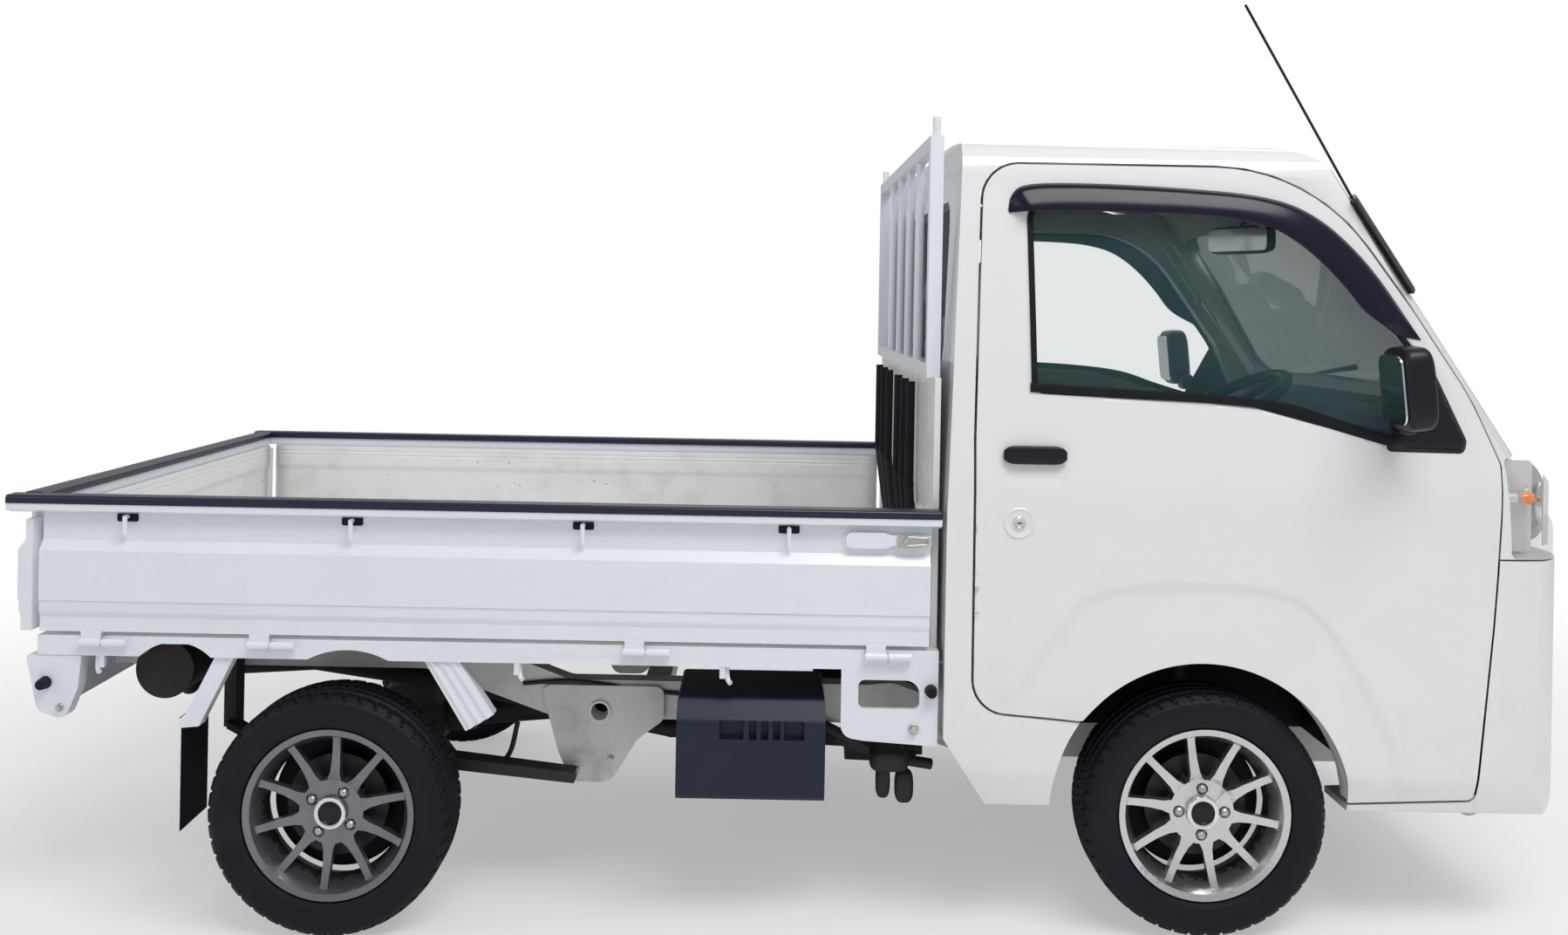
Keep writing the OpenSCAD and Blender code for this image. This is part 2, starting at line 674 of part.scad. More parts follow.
// Gate section: distance out from the inner face, height, from the outer top round to the inner face
gate_in = bed_half - 42;
cover_h = 18;
rail_z = rail_top_z - cover_h;
gate_foot_z = bed_floor_z + 10;
panel_top_z = rail_z - 22;
gate_x = [bed_in_x + gate_gap, bed_front_x - 22];
gate_profile = [
    [0, gate_foot_z], [24, gate_foot_z], [24, 668], [29, 680], [29, 702], [32, 705], [32, 812], [15, 834],
    [15, panel_top_z], [0, panel_top_z]
];
lip_profile = [
    [0, panel_top_z + seat_gap], [16, panel_top_z + seat_gap], [40, panel_top_z + 8], [40, rail_z], [0, rail_z]
];
gate_hook_xs = [bed_rear_x + 253, bed_rear_x + 740, bed_front_x - 775, bed_front_x - 329];

// Draw latch: x, z, corner radius
latch_z = rail_z - 49;
latch_side = [
    [gate_x[1] - 184, latch_z - 17, 14], [gate_x[1] - 100, latch_z - 17, 10], [gate_x[1] - 84, latch_z - 10, 6],
    [gate_x[1], latch_z - 10, 0], [gate_x[1], latch_z + 12, 0], [gate_x[1] - 84, latch_z + 12, 6],
    [gate_x[1] - 100, latch_z + 17, 10], [gate_x[1] - 184, latch_z + 17, 14]
];

module rope_hook() {
    translate([0, 0, 14]) rotate([90, 0, 0]) cylinder(r = 5, h = 20, center = true);
    translate([0, 8, -24]) cylinder(r = 5, h = 40);
}

module hinge_barrel(length) rotate([0, 90, 0]) difference() {
    translate([0, 0, -length]) cylinder(r = barrel_r, h = length);
    translate([0, 0, -length - 1]) cylinder(r = pin_r + run_gap, h = length + 2);
}

module side_gate() {
    along_x(gate_x[0], gate_x[1]) translate([gate_in, 0]) polygon(gate_profile);
    along_x(bed_rear_x, bed_front_x) translate([gate_in, 0]) polygon(lip_profile);
    for (x = gate_hinge_xs) {
        translate([x - 2, hinge_axis_y, hinge_axis_z]) hinge_barrel(barrel_len - 4);
        difference() {
            box([x - barrel_len + 4, gate_in + 2, hinge_axis_z], [x - 4, hinge_axis_y, gate_foot_z + 2]);
            box([x - barrel_len, 0, 0], [x, sill_out + 6, bed_floor_z + 3]);
            translate([x, hinge_axis_y, hinge_axis_z]) rotate([0, -90, 0]) cylinder(r = barrel_r - 1, h = 80);
        }
    }
    for (x = gate_hook_xs) translate([x, gate_in + 22, rail_z - 42]) rope_hook();
    // Draw latch at the front end
    along_y(gate_in + 14, gate_in + 30) polygon(rounded(latch_side, 4));
}

// A gate section laid across the rear, reaching half each way
module across_rear(half) mirror([1, 0, 0]) translate([-bed_rear_x - 52, 0, 0])
    along_y(-half, half) children();

tail_half = gate_in - 2 * gate_gap;

module tail_gate() {
    across_rear(tail_half) polygon(gate_profile);
    across_rear(tail_half) polygon(lip_profile);
    // End posts, which stop under the rails of the side gates
    intersection() {
        across_rear(gate_in + 24) polygon(gate_profile);
        pair() box([bed_rear_x, tail_half + seat_gap, 0], [bed_in_x, bed_half, panel_top_z - 14]);
    }
    for (y = tail_hinge_ys) {
        translate([tail_axis_x, y - 2, hinge_axis_z]) rotate([0, 0, 90]) hinge_barrel(barrel_len - 4);
        difference() {
            box([tail_axis_x, y - barrel_len + 4, hinge_axis_z], [tail_axis_x + 14, y - 4, gate_foot_z + 2]);
            translate([tail_axis_x, y, hinge_axis_z]) rotate([90, 0, 0]) cylinder(r = barrel_r - 1, h = 80);
        }
    }
    for (y = [-bed_half + 137, bed_half - 137]) 
        box([bed_rear_x + 12, y - 50, rail_z - 62], [bed_rear_x + 40, y + 50, rail_z - 32]);
}

// Edge cover: a channel pressed over the top of a gate
cover_profile = [[-6, rail_z, 0], [42, rail_z, 0], [42, rail_top_z, 8], [-6, rail_top_z, 8]];

module side_cover() along_x(bed_rear_x, bed_front_x - 2)
    translate([gate_in, 0]) polygon(rounded(cover_profile));
module tail_cover() across_rear(tail_half) polygon(rounded(cover_profile));

// Front wall of the bed, with its end posts
wall_x = [bed_front_x - 14, bed_front_x];
guard_foot_z = 1216;
guard_half = 652;

module bulkhead() color(paint) {
    box([wall_x[0], -guard_half - 24, bed_floor_z], [wall_x[1], guard_half + 24, guard_foot_z]);
    for (y = [-400 : 200 : 400]) box([wall_x[0] - 8, y - 40, bed_floor_z + 60], [wall_x[0] + 1, y + 40, 900]);
}

// Guard frame of square tube in front of the rear window
tube = 30;
guard_bar_ys = [-330, -110, 110, 330];

module guard_frame() color(paint) {
    for (z = [guard_foot_z + tube / 2, guard_top_z - tube / 2])
        box([bed_front_x - tube, -guard_half, z - tube / 2], [bed_front_x, guard_half, z + tube / 2]);
    for (y = [-guard_half, guard_half - tube])
        box([bed_front_x - tube, y, guard_foot_z], [bed_front_x, y + tube, guard_top_z]);
    for (y = guard_bar_ys) translate([bed_front_x - tube / 2, y, guard_foot_z + 1])
        cylinder(r = 11, h = guard_top_z - guard_foot_z - 2);
    pair() translate([bed_front_x - tube / 2, guard_half - tube / 2, guard_top_z - 1])
        cylinder(r = peg_r, h = peg_h + 1);
}

// Panel under the tail, with its corner brackets
panel_x = [frame_rear_x - 40, frame_rear_x];
lamp_y = [sill_in - 139, sill_in - 11];
corner_side = [
    [bed_rear_x + 38, 583, 6], [bed_rear_x + 64, 462, 24], [bed_rear_x + 124, 442, 20],
    [bed_rear_x + 152, 513, 40], [bed_rear_x + 158, 583, 4]
];

module rear_panel() color(paint) {
    difference() {
        box([panel_x[0], -sill_in, 470], [panel_x[1], sill_in, 584]);
        pair() box([panel_x[0] - 1, lamp_y[0], 486], [panel_x[0] + 24, lamp_y[1], 572]);
    }
    pair() along_y(sill_in - 1, sill_out - 2) polygon(rounded(corner_side));
}

module tail_lamps() color([0.6, 0.05, 0.05]) pair()
    box([panel_x[0] - 12, lamp_y[0] + 1, 487], [panel_x[0] + 23.7, lamp_y[1] - 1, 571]);

// Rubber stops that the open side gates rest on
stop_spots = [[bed_rear_x + 82, 524, sill_out - 2], [bed_front_x - 16, 541, sill_out]];

module gate_stops() color(black) pair() for (s = stop_spots)
    translate([s[0], s[2], s[1]]) rotate([-90, 0, 0]) cylinder(r1 = 14, r2 = 11, h = bed_half + 1 - s[2]);

// Mudguard stays and flaps, measured from the rear axle
stay_y = [sill_out - 42, sill_out - 8];
flap_x = rear_hub[0] - 330;

flap_y = 560;
flap_t = 6;
front_stay = [[200, sill_low_z], [293, 432], [354, 469], [276, sill_low_z]];
rear_stay = [[-254, sill_low_z], [-316, 458], [-324, 452], [-324, 428], [-286, 432], [-212, sill_low_z]];

module mudguards() {
    color(paint) pair() along_y(stay_y[0], stay_y[1]) translate([rear_hub[0], 0]) {
        polygon(front_stay);
        polygon(rear_stay);
    }
    color(black) pair() box([flap_x, flap_y, 202], [flap_x + flap_t, stay_y[1], 450]);
}

// Front suspension: lower arms and strut mounts on the steering axis
ball = [front_hub[0], 590, front_hub[1] - 114];
strut_top = [front_hub[0], 498, deck_z - 26];
king = unit(strut_top - ball);
king_len = norm(strut_top - ball);
king_pin_r = 9;

module on_king(h) translate(ball + king * h) rotate([atan2(-king[1], king[2]), 0, 0]) children();

module front_suspension() color([0.12, 0.12, 0.13]) pair() {
    along_x(front_hub[0] - 35, front_hub[0] + 35) polygon([
        [nose_rail_y, foot_z - rail_h + 4], [nose_rail_y, foot_z - rail_h + 50], [ball[1] - 110, ball[2] - 6],
        [ball[1] + 14, ball[2] - 6], [ball[1] + 14, ball[2] - 34], [ball[1] - 124, ball[2] - 34]]);
    on_king(-14) cylinder(r = king_pin_r, h = 40);
    on_king(king_len - 30) cylinder(r = king_pin_r, h = 32);
    translate([strut_top[0], strut_top[1], strut_top[2] - 2]) cylinder(r = 40, h = deck_z - strut_top[2] + 2);
}

module knuckle(s) color([0.2, 0.2, 0.22]) on_side(s) difference() {
    union() {
        on_king(4) cylinder(r = 24, h = king_len - 12);
        translate([front_hub[0], 0, front_hub[1]]) rotate([-90, 0, 0]) {
            translate([0, 0, wheel_y - 100]) cylinder(r = 40, h = 26);
            translate([0, 0, wheel_y - 90]) cylinder(r = stub_r, h = 120);
        }
        box([front_hub[0] - 24, ball[1] - 64, front_hub[1] - 60],
            [front_hub[0] + 24, wheel_y - 84, front_hub[1] + 60]);
    }
    on_king(-20) cylinder(r = king_pin_r + run_gap, h = 50);
    on_king(king_len - 34) cylinder(r = king_pin_r + run_gap, h = 60);
}

// Wheel: rim barrel, spokes, hub and nuts; y runs outwards from the middle of the tyre
rim_r = rim_d / 2;
barrel_half = 64;
hub_face = 40;
// Rim section: radius, offset
rim_section = [
    [rim_r - 20, -barrel_half + 8], [rim_r - 2, -barrel_half], [rim_r, -barrel_half + 6],
    [rim_r - 10, -barrel_half + 12], [rim_r - 18, -barrel_half + 30], [rim_r - 30, 0],
    [rim_r - 18, barrel_half - 34], [rim_r - 10, barrel_half - 12], [rim_r, barrel_half - 6],
    [rim_r - 2, barrel_half], [rim_r - 16, barrel_half - 4], [rim_r - 24, barrel_half - 20],
    [rim_r - 31, barrel_half - 38], [rim_r - 40, 0], [rim_r - 28, -barrel_half + 30]
];

// A spoke from outside: distance from the hub, half width; and from the side: distance, offset
spoke_plan = [[40, 22], [62, 17], [84, 10.5], [120, 8.5], [rim_r - 30, 8], [rim_r - 19, 9]];
spoke_side = [
    [40, hub_face - 22], [110, hub_face - 22], [rim_r - 40, hub_face - 16], [rim_r - 19, barrel_half - 29],
    [rim_r - 19, barrel_half - 15], [rim_r - 40, barrel_half - 21], [110, hub_face - 3], [68, hub_face - 0.5],
    [40, hub_face - 0.5]
];

module spoke() intersection() {
    linear_extrude(100)
        polygon(concat(spoke_plan, [for (i = [len(spoke_plan) - 1 : -1 : 0]) [spoke_plan[i][0], -spoke_plan[i][1]]]));
    rotate([90, 0, 0]) linear_extrude(60, center = true) polygon(spoke_side);
}

// Hub, centre cap and domed nuts: radius, offset
cap_r = 31;
cap_section = [
    [0, hub_face - 2], [cap_r + 5, hub_face - 2], [cap_r + 5, hub_face + 3], [cap_r + 3, hub_face + 6],
    [cap_r + 1, hub_face + 6], [cap_r, hub_face + 4], [cap_r - 5, hub_face + 7], [0, hub_face + 8]
];
hub_r = 70;
nut_pocket_r = 13;
nut_hex_r = 12.2;
nut_dome = [[0, 0], [10, 0], [10, 14], [8.6, 19], [5, 22.6], [0, 24]];

module at_nuts(phase) for (i = [0 : 3]) rotate([0, 0, phase + i * 90])
    translate([nut_pcd / 2, 0, hub_face - 15]) children();

module rim(spoke_phase, nut_phase) color(alloy) {
    rotate_extrude($fn = 96) polygon(rim_section);
    difference() {
        union() {
            translate([0, 0, -10]) cylinder(r = hub_r, h = hub_face + 10);
            for (i = [0 : spoke_count - 1]) rotate([0, 0, spoke_phase + i * 360 / spoke_count]) spoke();
        }
        translate([0, 0, -40]) cylinder(r = stub_r + run_gap, h = 72);
        at_nuts(nut_phase) translate([0, 0, 1]) cylinder(r = nut_pocket_r, h = 40);
    }
    at_nuts(nut_phase) {
        rotate_extrude($fn = 24) polygon(nut_dome);
        cylinder(r = nut_hex_r, h = 9, $fn = 6);
    }
    rotate_extrude() polygon(cap_section);
    // Brake drum or disc behind the spokes
    difference() {
        translate([0, 0, -30]) cylinder(r = 112, h = 20);
        translate([0, 0, -40]) cylinder(r = 46, h = 40);
    }
}

// Tyre section: radius, offset
tyre_half = tyre_w / 2;
wall_r = (rim_r + tyre_r) / 2;
tyre_section = [
    [rim_r - 9.5, -barrel_half + 13], [rim_r + 1, -barrel_half + 6], [rim_r + 1, -barrel_half - 2],
    [wall_r, -tyre_half], [tyre_r - 16, -tyre_half + 6], [tyre_r - 4, -tyre_half + 20],
    [tyre_r, -tyre_half + 40], [tyre_r, tyre_half - 40], [tyre_r - 4, tyre_half - 20],
    [tyre_r - 16, tyre_half - 6], [wall_r, tyre_half],
    [rim_r + 1, barrel_half + 2], [rim_r + 1, barrel_half - 6], [rim_r - 9.5, barrel_half - 13], [rim_r - 6, 0]
];

module tyre() color(black) rotate_extrude($fn = 96) polygon(tyre_section);

module at_wheel(front, s) on_side(s) translate([(front ? front_hub : rear_hub)[0], wheel_y,
    (front ? front_hub : rear_hub)[1]]) rotate([-90, 0, 0]) children();

// Antenna on the right pillar
antenna_foot = [1224, -half_w + 95, 1608];
antenna_tip = [959, -half_w + 75, 2051];

module antenna() color(black) {
    rod(antenna_foot, antenna_tip, 3);
    intersection() {
        difference() { cab_solid(-15); cab_solid(-0.3); }
        along_y(-half_w - 65, -half_w + 123) polygon([[1196, 1622], [1330, 1420], [1362, 1440], [1226, 1642]]);
    }
}

// Rubber straps hung on the front wall: y at the top, y at the foot
strap_x = wall_x[0] - 19.4;
strap_ys = [[520, 60], [360, -40], [200, -140], [-60, -330], [-220, -430], [-360, -500]];

module rubber_straps() color(black) for (s = strap_ys)
    pipe_run([[strap_x, s[0], 1190], [strap_x, s[0], 940], [strap_x, s[1], 720]], 11, 1.5);

// Doors
visor_band = [
    [440, 1586, 20], [1085, 1586, 260], [1290, 1322, 30], [1344, 1318, 12], [1120, 1646, 300], [452, 1646, 40]
];

// Hinge arm in plan, from its pin round the edge of the front panel to the inside of the door
gooseneck = [
    [-4, -8], [-12, -36], [-32, -52], [-62, -50], [-76, 20 - door_t], [-134, 20 - door_t],
    [-134, 4 - door_t], [-82, -64], [-32, -67], [-4, -50], [6, -10]
];

// Handle and the hollow behind it: x, z, corner radius
grip_side = [[430, 1034, 12], [566, 1034, 12], [566, 1078, 12], [430, 1078, 12]];
grip_hollow = [[434, 998, 12], [563, 998, 12], [563, 1074, 12], [434, 1074, 12]];
grip_depth = 10;

module door(s) color(paint) on_side(s) {
    difference() {
        intersection() {
            union() {
                intersection() {
                    cab_shell(skin_t);
                    door_area(0);
                }
                intersection() {
                    cab_shell(door_t);
                    door_area(hem);
                }
            }
            box([0, 400, 0], [1800, 900, 2000]);
        }
        wheel_arches(arch_r);
        along_y(0, 900) polygon(rounded(window_side));
        // Hollow behind the handle
        difference() {
            along_y(0, 900) polygon(rounded(grip_hollow));
            cab_solid(grip_depth);
        }
        // No flange where the shell turns in under the cab
        box([0, 0, 0], [1800, half_w - door_t - 3, 900]);
    }
    for (z = hinge_zs) {
        difference() {
            union() {
                translate([hinge_x, hinge_y, z - 18]) cylinder(r = 11, h = knuckle_h);
                // Gooseneck arm from the knuckle to the inside of the door
                translate([hinge_x, hinge_y, z - 14]) linear_extrude(28) polygon(gooseneck);
            }
            translate([hinge_x, hinge_y, z - 19]) cylinder(r = hinge_pin_r + run_gap, h = knuckle_h + 2);
        }
    }
}

module door_glass(s) color(glass) on_side(s) intersection() {
    difference() { cab_solid(16); cab_solid(16 + glass_t); }
    along_y(0, 900) polygon(rounded(inset(window_side, 0.3)));
}

mirror_y = [half_w + 10, half_w + 150];
mirror_side = [
    [1226, 1140, 20], [1268, 1128, 30], [1296, 1160, 40], [1296, 1260, 40], [1272, 1308, 30], [1234, 1304, 20]
];
plate_side = [[1262, 1094, 30], [1426, 1084, 26], [1345, 1268, 40], [1300, 1200, 40]];

module door_fittings(s) color(black) on_side(s) {
    // Mirror: housing, arm and corner plate
    along_y(mirror_y[0], mirror_y[1]) polygon(rounded(mirror_side));
    intersection() {
        difference() { cab_solid(-10); cab_solid(15.7); }
        along_y(0, 900) polygon(rounded(inset(plate_side, seat_gap)));
    }
    rod([1300, half_w - 20, 1130], [1270, half_w + 30, 1160], 14);
    // Rain visor over the window
    intersection() {
        difference() { cab_solid(-22); cab_solid(-0.3); }
        along_y(0, 900) polygon(rounded(visor_band));
    }
    // Handle
    intersection() {
        difference() { cab_solid(-9); cab_solid(-0.3); }
        along_y(0, 900) polygon(rounded(grip_side));
    }
}

stance() on_side(-1) frame_rail();  // rail_right
stance() on_side(1) frame_rail();  // rail_left
stance() crossmembers();
stance() cab_floor();
stance() cab_back();
stance() cab_roof();
stance() cab_sides();
stance() front_panel();
stance() front_bumper();
stance() bumper_grille();
stance() windscreen();
stance() rear_window();
stance() headlamps();
stance() wipers();
stance() dashboard();
stance() seats();
stance() powertrain();
stance() prop_shaft();
stance() fuel_tank();
stance() battery_box();
stance() exhaust();
stance() bed_floor();
stance() bulkhead();
stance() guard_frame();
stance() rear_panel();
stance() tail_lamps();
stance() gate_stops();
stance() mudguards();
stance() front_suspension();
stance() rear_axle();
stance() leaf_springs();
stance() antenna();
stance() rubber_straps();
stance() steering_column();
stance() steering_wheel();
stance() knuckle(-1);  // knuckle_right
stance() knuckle(1);  // knuckle_left
stance() at_wheel(true, -1) rim(8, 0);  // rim_front_right
stance() at_wheel(true, 1) rim(8, 0);  // rim_front_left
stance() at_wheel(false, -1) rim(22, 32);  // rim_rear_right
stance() at_wheel(false, 1) rim(22, 32);  // rim_rear_left
stance() at_wheel(true, -1) tyre();  // tyre_front_right
stance() at_wheel(true, 1) tyre();  // tyre_front_left
stance() at_wheel(false, -1) tyre();  // tyre_rear_right
stance() at_wheel(false, 1) tyre();  // tyre_rear_left
stance() door(-1);  // door_right
stance() door(1);  // door_left
stance() door_glass(-1);  // door_glass_right
stance() door_glass(1);  // door_glass_left
stance() door_fittings(-1);  // door_fittings_right
stance() door_fittings(1);  // door_fittings_left
stance() color(paint) on_side(-1) side_gate();  // gate_right
stance() color(paint) on_side(1) side_gate();  // gate_left
stance() color(paint) tail_gate();  // gate_tail
stance() color(black) on_side(-1) side_cover();  // gate_cover_right
stance() color(black) on_side(1) side_cover();  // gate_cover_left
stance() color(black) tail_cover();  // gate_cover_tail
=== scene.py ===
import json
import math
import bmesh
import bpy
import numpy as np
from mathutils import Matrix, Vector
from mathutils.geometry import delaunay_2d_cdt

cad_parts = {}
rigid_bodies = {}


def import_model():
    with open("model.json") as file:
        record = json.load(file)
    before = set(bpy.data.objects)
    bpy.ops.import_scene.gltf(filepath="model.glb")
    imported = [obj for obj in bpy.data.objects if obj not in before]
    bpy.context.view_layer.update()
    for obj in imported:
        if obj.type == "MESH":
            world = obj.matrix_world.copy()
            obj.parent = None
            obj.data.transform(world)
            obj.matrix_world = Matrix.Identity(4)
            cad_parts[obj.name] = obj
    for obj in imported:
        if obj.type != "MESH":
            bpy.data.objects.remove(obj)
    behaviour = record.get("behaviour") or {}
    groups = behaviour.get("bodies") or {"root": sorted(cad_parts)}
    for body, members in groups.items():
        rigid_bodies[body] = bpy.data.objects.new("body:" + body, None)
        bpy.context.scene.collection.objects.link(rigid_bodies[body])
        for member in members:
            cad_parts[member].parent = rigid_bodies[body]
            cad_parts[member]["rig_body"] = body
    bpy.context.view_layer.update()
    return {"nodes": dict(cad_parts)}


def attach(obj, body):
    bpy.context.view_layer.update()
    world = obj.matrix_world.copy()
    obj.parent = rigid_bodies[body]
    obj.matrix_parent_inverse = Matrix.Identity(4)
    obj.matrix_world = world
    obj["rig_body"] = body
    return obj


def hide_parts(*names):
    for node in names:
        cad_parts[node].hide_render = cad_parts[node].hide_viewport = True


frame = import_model()
print("frame loaded:", len(frame["nodes"]), "nodes")

# The truck is drawn in its own level frame in millimetres, then leaned nose down and scaled to metres
stance = {"rake": 1.05, "frontHub": (885.0, 281.3), "rearHub": (-1014.7, 246.5), "wheelY": 652.0}
lean = math.radians(stance["rake"])
cosLean, sinLean = math.cos(lean), math.sin(lean)
bothSides = (("right", -1), ("left", 1))


def toWorld(p):
    # turns points about the cross axis by the rake, then millimetres become metres
    p = np.asarray(p, float)
    x, y, z = p[..., 0], p[..., 1], p[..., 2]
    return np.stack([x * cosLean + z * sinLean, y, z * cosLean - x * sinLean], -1) * 0.001


def fromWorld(p):
    # metres in the world back to millimetres in the truck's level frame
    x, y, z = p[..., 0] * 1000, p[..., 1] * 1000, p[..., 2] * 1000
    return np.stack([x * cosLean - z * sinLean, y, z * cosLean + x * sinLean], -1)


class Value:
    # wraps an output socket; the operators add Math nodes
    def __init__(self, tree, socket):
        self.tree, self.socket = tree, socket

    def make(self, kind, settings=None, inputs=None, out=0):
        # one new node: its type, its settings, the values or links of its sockets, and the output wanted
        node = self.tree.nodes.new(kind)
        for key, value in (settings or {}).items():
            setattr(node, key, value)
        for key, value in (inputs or {}).items():
            if isinstance(value, Value):
                self.tree.links.new(value.socket, node.inputs[key])
            else:
                node.inputs[key].default_value = value
        return Value(self.tree, node.outputs[out])

    def math(self, operation, other, swap=False):
        pair = (other, self) if swap else (self, other)
        return self.make("ShaderNodeMath", {"operation": operation}, {0: pair[0], 1: pair[1]})

    def __add__(self, other): return self.math("ADD", other)
    def __radd__(self, other): return self.math("ADD", other, True)
    def __sub__(self, other): return self.math("SUBTRACT", other)
    def __rsub__(self, other): return self.math("SUBTRACT", other, True)
    def __mul__(self, other): return self.math("MULTIPLY", other)
    def __rmul__(self, other): return self.math("MULTIPLY", other, True)

    def ramp(self, low, high):
        # 0 below low, 1 above high, smooth between
        return self.make("ShaderNodeMapRange", {"interpolation_type": "SMOOTHSTEP", "clamp": True},
                         {"Value": self, "From Min": low, "From Max": high, "To Min": 0.0, "To Max": 1.0})

    def noise(self, scale, detail=4.0, rough=0.6):
        return self.make("ShaderNodeTexNoise", {}, {"Vector": self, "Scale": scale, "Detail": detail,
                                                    "Roughness": rough}, "Fac")

    def stretch(self, x, y, z):
        return self.make("ShaderNodeMapping", {"vector_type": "POINT"}, {"Vector": self, "Scale": (x, y, z)})

    def axis(self, name):
        return self.make("ShaderNodeSeparateXYZ", {}, {"Vector": self}, name)

    def mix(self, low, high):
        # colour between low and high by this value
        return self.make("ShaderNodeMix", {"data_type": "RGBA"}, {0: self, 6: low, 7: high}, 2)

    def bump(self, strength, distance):
        return self.make("ShaderNodeBump", {}, {"Height": self, "Strength": strength, "Distance": distance},
                         "Normal")


def rgb(r, g, b):
    return (r, g, b, 1.0)


materials = {}


def material(name, build, **fixed):
    # a Principled surface: fixed numbers go straight on its sockets, build gives the varying ones
    made = bpy.data.materials.new(name)
    made.use_nodes = True
    tree = made.node_tree
    shader = tree.nodes["Principled BSDF"]
    for key, value in fixed.items():
        shader.inputs[key.replace("_", " ")].default_value = value
    place = Value(tree, tree.nodes.new("ShaderNodeTexCoord").outputs["Object"])
    for key, value in build(place).items():
        tree.links.new(value.socket, shader.inputs[key])
    materials[name] = made
    return made


def paintLook(base, dirt, dirtAmount, scuff=0.0):
    # sprayed enamel: faint tone drift, road film low down, thin scratches and chips where it is scuffed
    def build(p):
        drift = p.noise(1.7, 3.0)
        low = 1 - p.axis("Z").ramp(0.25, 0.75)
        film = (p.noise(9.0, 8.0, 0.7).ramp(0.42, 0.8) * (low * 0.8 + 0.2)) * dirtAmount
        colour = (drift * 0.35).mix(rgb(*base), rgb(*[c * 0.955 for c in base]))
        colour = film.mix(colour, rgb(*dirt))
        rough = 0.2 + drift * 0.08 + film * 0.3
        if scuff > 0:
            lines = p.stretch(3.0, 60.0, 90.0).noise(4.0, 6.0, 0.75).ramp(0.655, 0.70)
            chips = p.noise(55.0, 3.0, 0.6).ramp(0.70, 0.72)
            patch = p.noise(4.0, 4.0).ramp(0.40, 0.62)
            wear = (lines * 0.6 * patch + chips * (0.35 + patch * 0.65)) * scuff
            colour = wear.mix(colour, rgb(0.16, 0.15, 0.13))
            cloud = p.noise(6.5, 9.0, 0.7).ramp(0.45, 0.75) * (0.4 * scuff)
            colour = cloud.mix(colour, rgb(0.60, 0.585, 0.54))
            rough = rough + wear * 0.4 + cloud * 0.3
        return {"Base Color": colour, "Roughness": rough}
    return build


def plasticLook(base, grain, rough=0.5, worn=0.25):
    # moulded plastic or rubber: fine grain, paler dusty patches
    def build(p):
        dust = p.noise(7.0, 7.0, 0.65).ramp(0.5, 0.85) * worn
        grey = sum(base) / 3
        colour = dust.mix(rgb(*base), rgb(*[0.55 * c + 0.45 * (grey + 0.14) for c in base]))
        height = p.noise(grain, 2.0, 0.5)
        return {"Base Color": colour, "Roughness": rough + dust * 0.25,
                "Normal": height.bump(0.22, 0.0006)}
    return build


def metalLook(base, dark, streak, rough):
    # cast or turned metal: fine streaks and darker hollows
    def build(p):
        lines = p.stretch(streak, streak, streak * 0.2).noise(6.0, 5.0, 0.7)
        blot = p.noise(11.0, 6.0, 0.65).ramp(0.45, 0.8)
        colour = (blot * 0.55).mix(rgb(*base), rgb(*dark))
        return {"Base Color": colour, "Roughness": rough + lines * 0.12 + blot * 0.15}
    return build


def fabricLook(base, dark):
    # woven cloth: two crossed waves and soft shade between the yarns
    def build(p):
        warp, weft = (p.make("ShaderNodeTexWave", {"bands_direction": direction},
                             {"Vector": p, "Scale": 210.0, "Distortion": 0.4}, "Fac") for direction in "YZ")
        yarn = warp * 0.5 + weft * 0.5
        tone = p.noise(5.0, 5.0)
        colour = (yarn * 0.6 + tone * 0.4).mix(rgb(*dark), rgb(*base))
        return {"Base Color": colour, "Normal": yarn.bump(0.35, 0.0008)}
    return build


def glassLook(base):
    # tinted sheet glass with a trace of dust
    def build(p):
        dust = p.noise(6.0, 6.0, 0.7).ramp(0.45, 0.9)
        return {"Base Color": (dust * 0.4).mix(rgb(*base), rgb(0.8, 0.85, 0.86)),
                "Roughness": 0.015 + dust * 0.05}
    return build


white = (0.80, 0.815, 0.84)
bodyPaint = material("bodyPaint", paintLook(white, (0.52, 0.50, 0.46), 0.22), Coat_Weight=0.6,
                     Coat_Roughness=0.04, Specular_IOR_Level=0.5)
bedPaint = material("bedPaint", paintLook((0.86, 0.87, 0.87), (0.55, 0.53, 0.48), 0.3, 1.3))
gatePaint = material("gatePaint", paintLook((0.79, 0.825, 0.89), (0.5, 0.48, 0.44), 0.3, 0.2),
                     Coat_Weight=0.3, Coat_Roughness=0.08)
framePaint = material("framePaint", paintLook((0.74, 0.76, 0.76), (0.30, 0.27, 0.22), 0.7, 0.3))
railPlastic = material("railPlastic", plasticLook((0.008, 0.011, 0.034), 420.0, 0.3, 0.12))
blackPlastic = material("blackPlastic", plasticLook((0.006, 0.0065, 0.012), 520.0, 0.36, 0.07),
                        Specular_IOR_Level=0.35)
boxPlastic = material("boxPlastic", plasticLook((0.008, 0.013, 0.034), 360.0, 0.42, 0.14),
                      Specular_IOR_Level=0.35)
rubber = material("rubber", plasticLook((0.005, 0.0055, 0.010), 300.0, 0.62, 0.12), Specular_IOR_Level=0.25)
tyreRubber = material("tyreRubber", plasticLook((0.004, 0.0045, 0.011), 260.0, 0.55, 0.14),
                      Specular_IOR_Level=0.25)
visorPlastic = material("visorPlastic", plasticLook((0.007, 0.006, 0.020), 40.0, 0.2, 0.03),
                        Specular_IOR_Level=0.3, Alpha=0.95)
darkMetal = material("darkMetal", metalLook((0.035, 0.036, 0.04), (0.012, 0.011, 0.01), 1.0, 0.5),
                     Metallic=0.4)
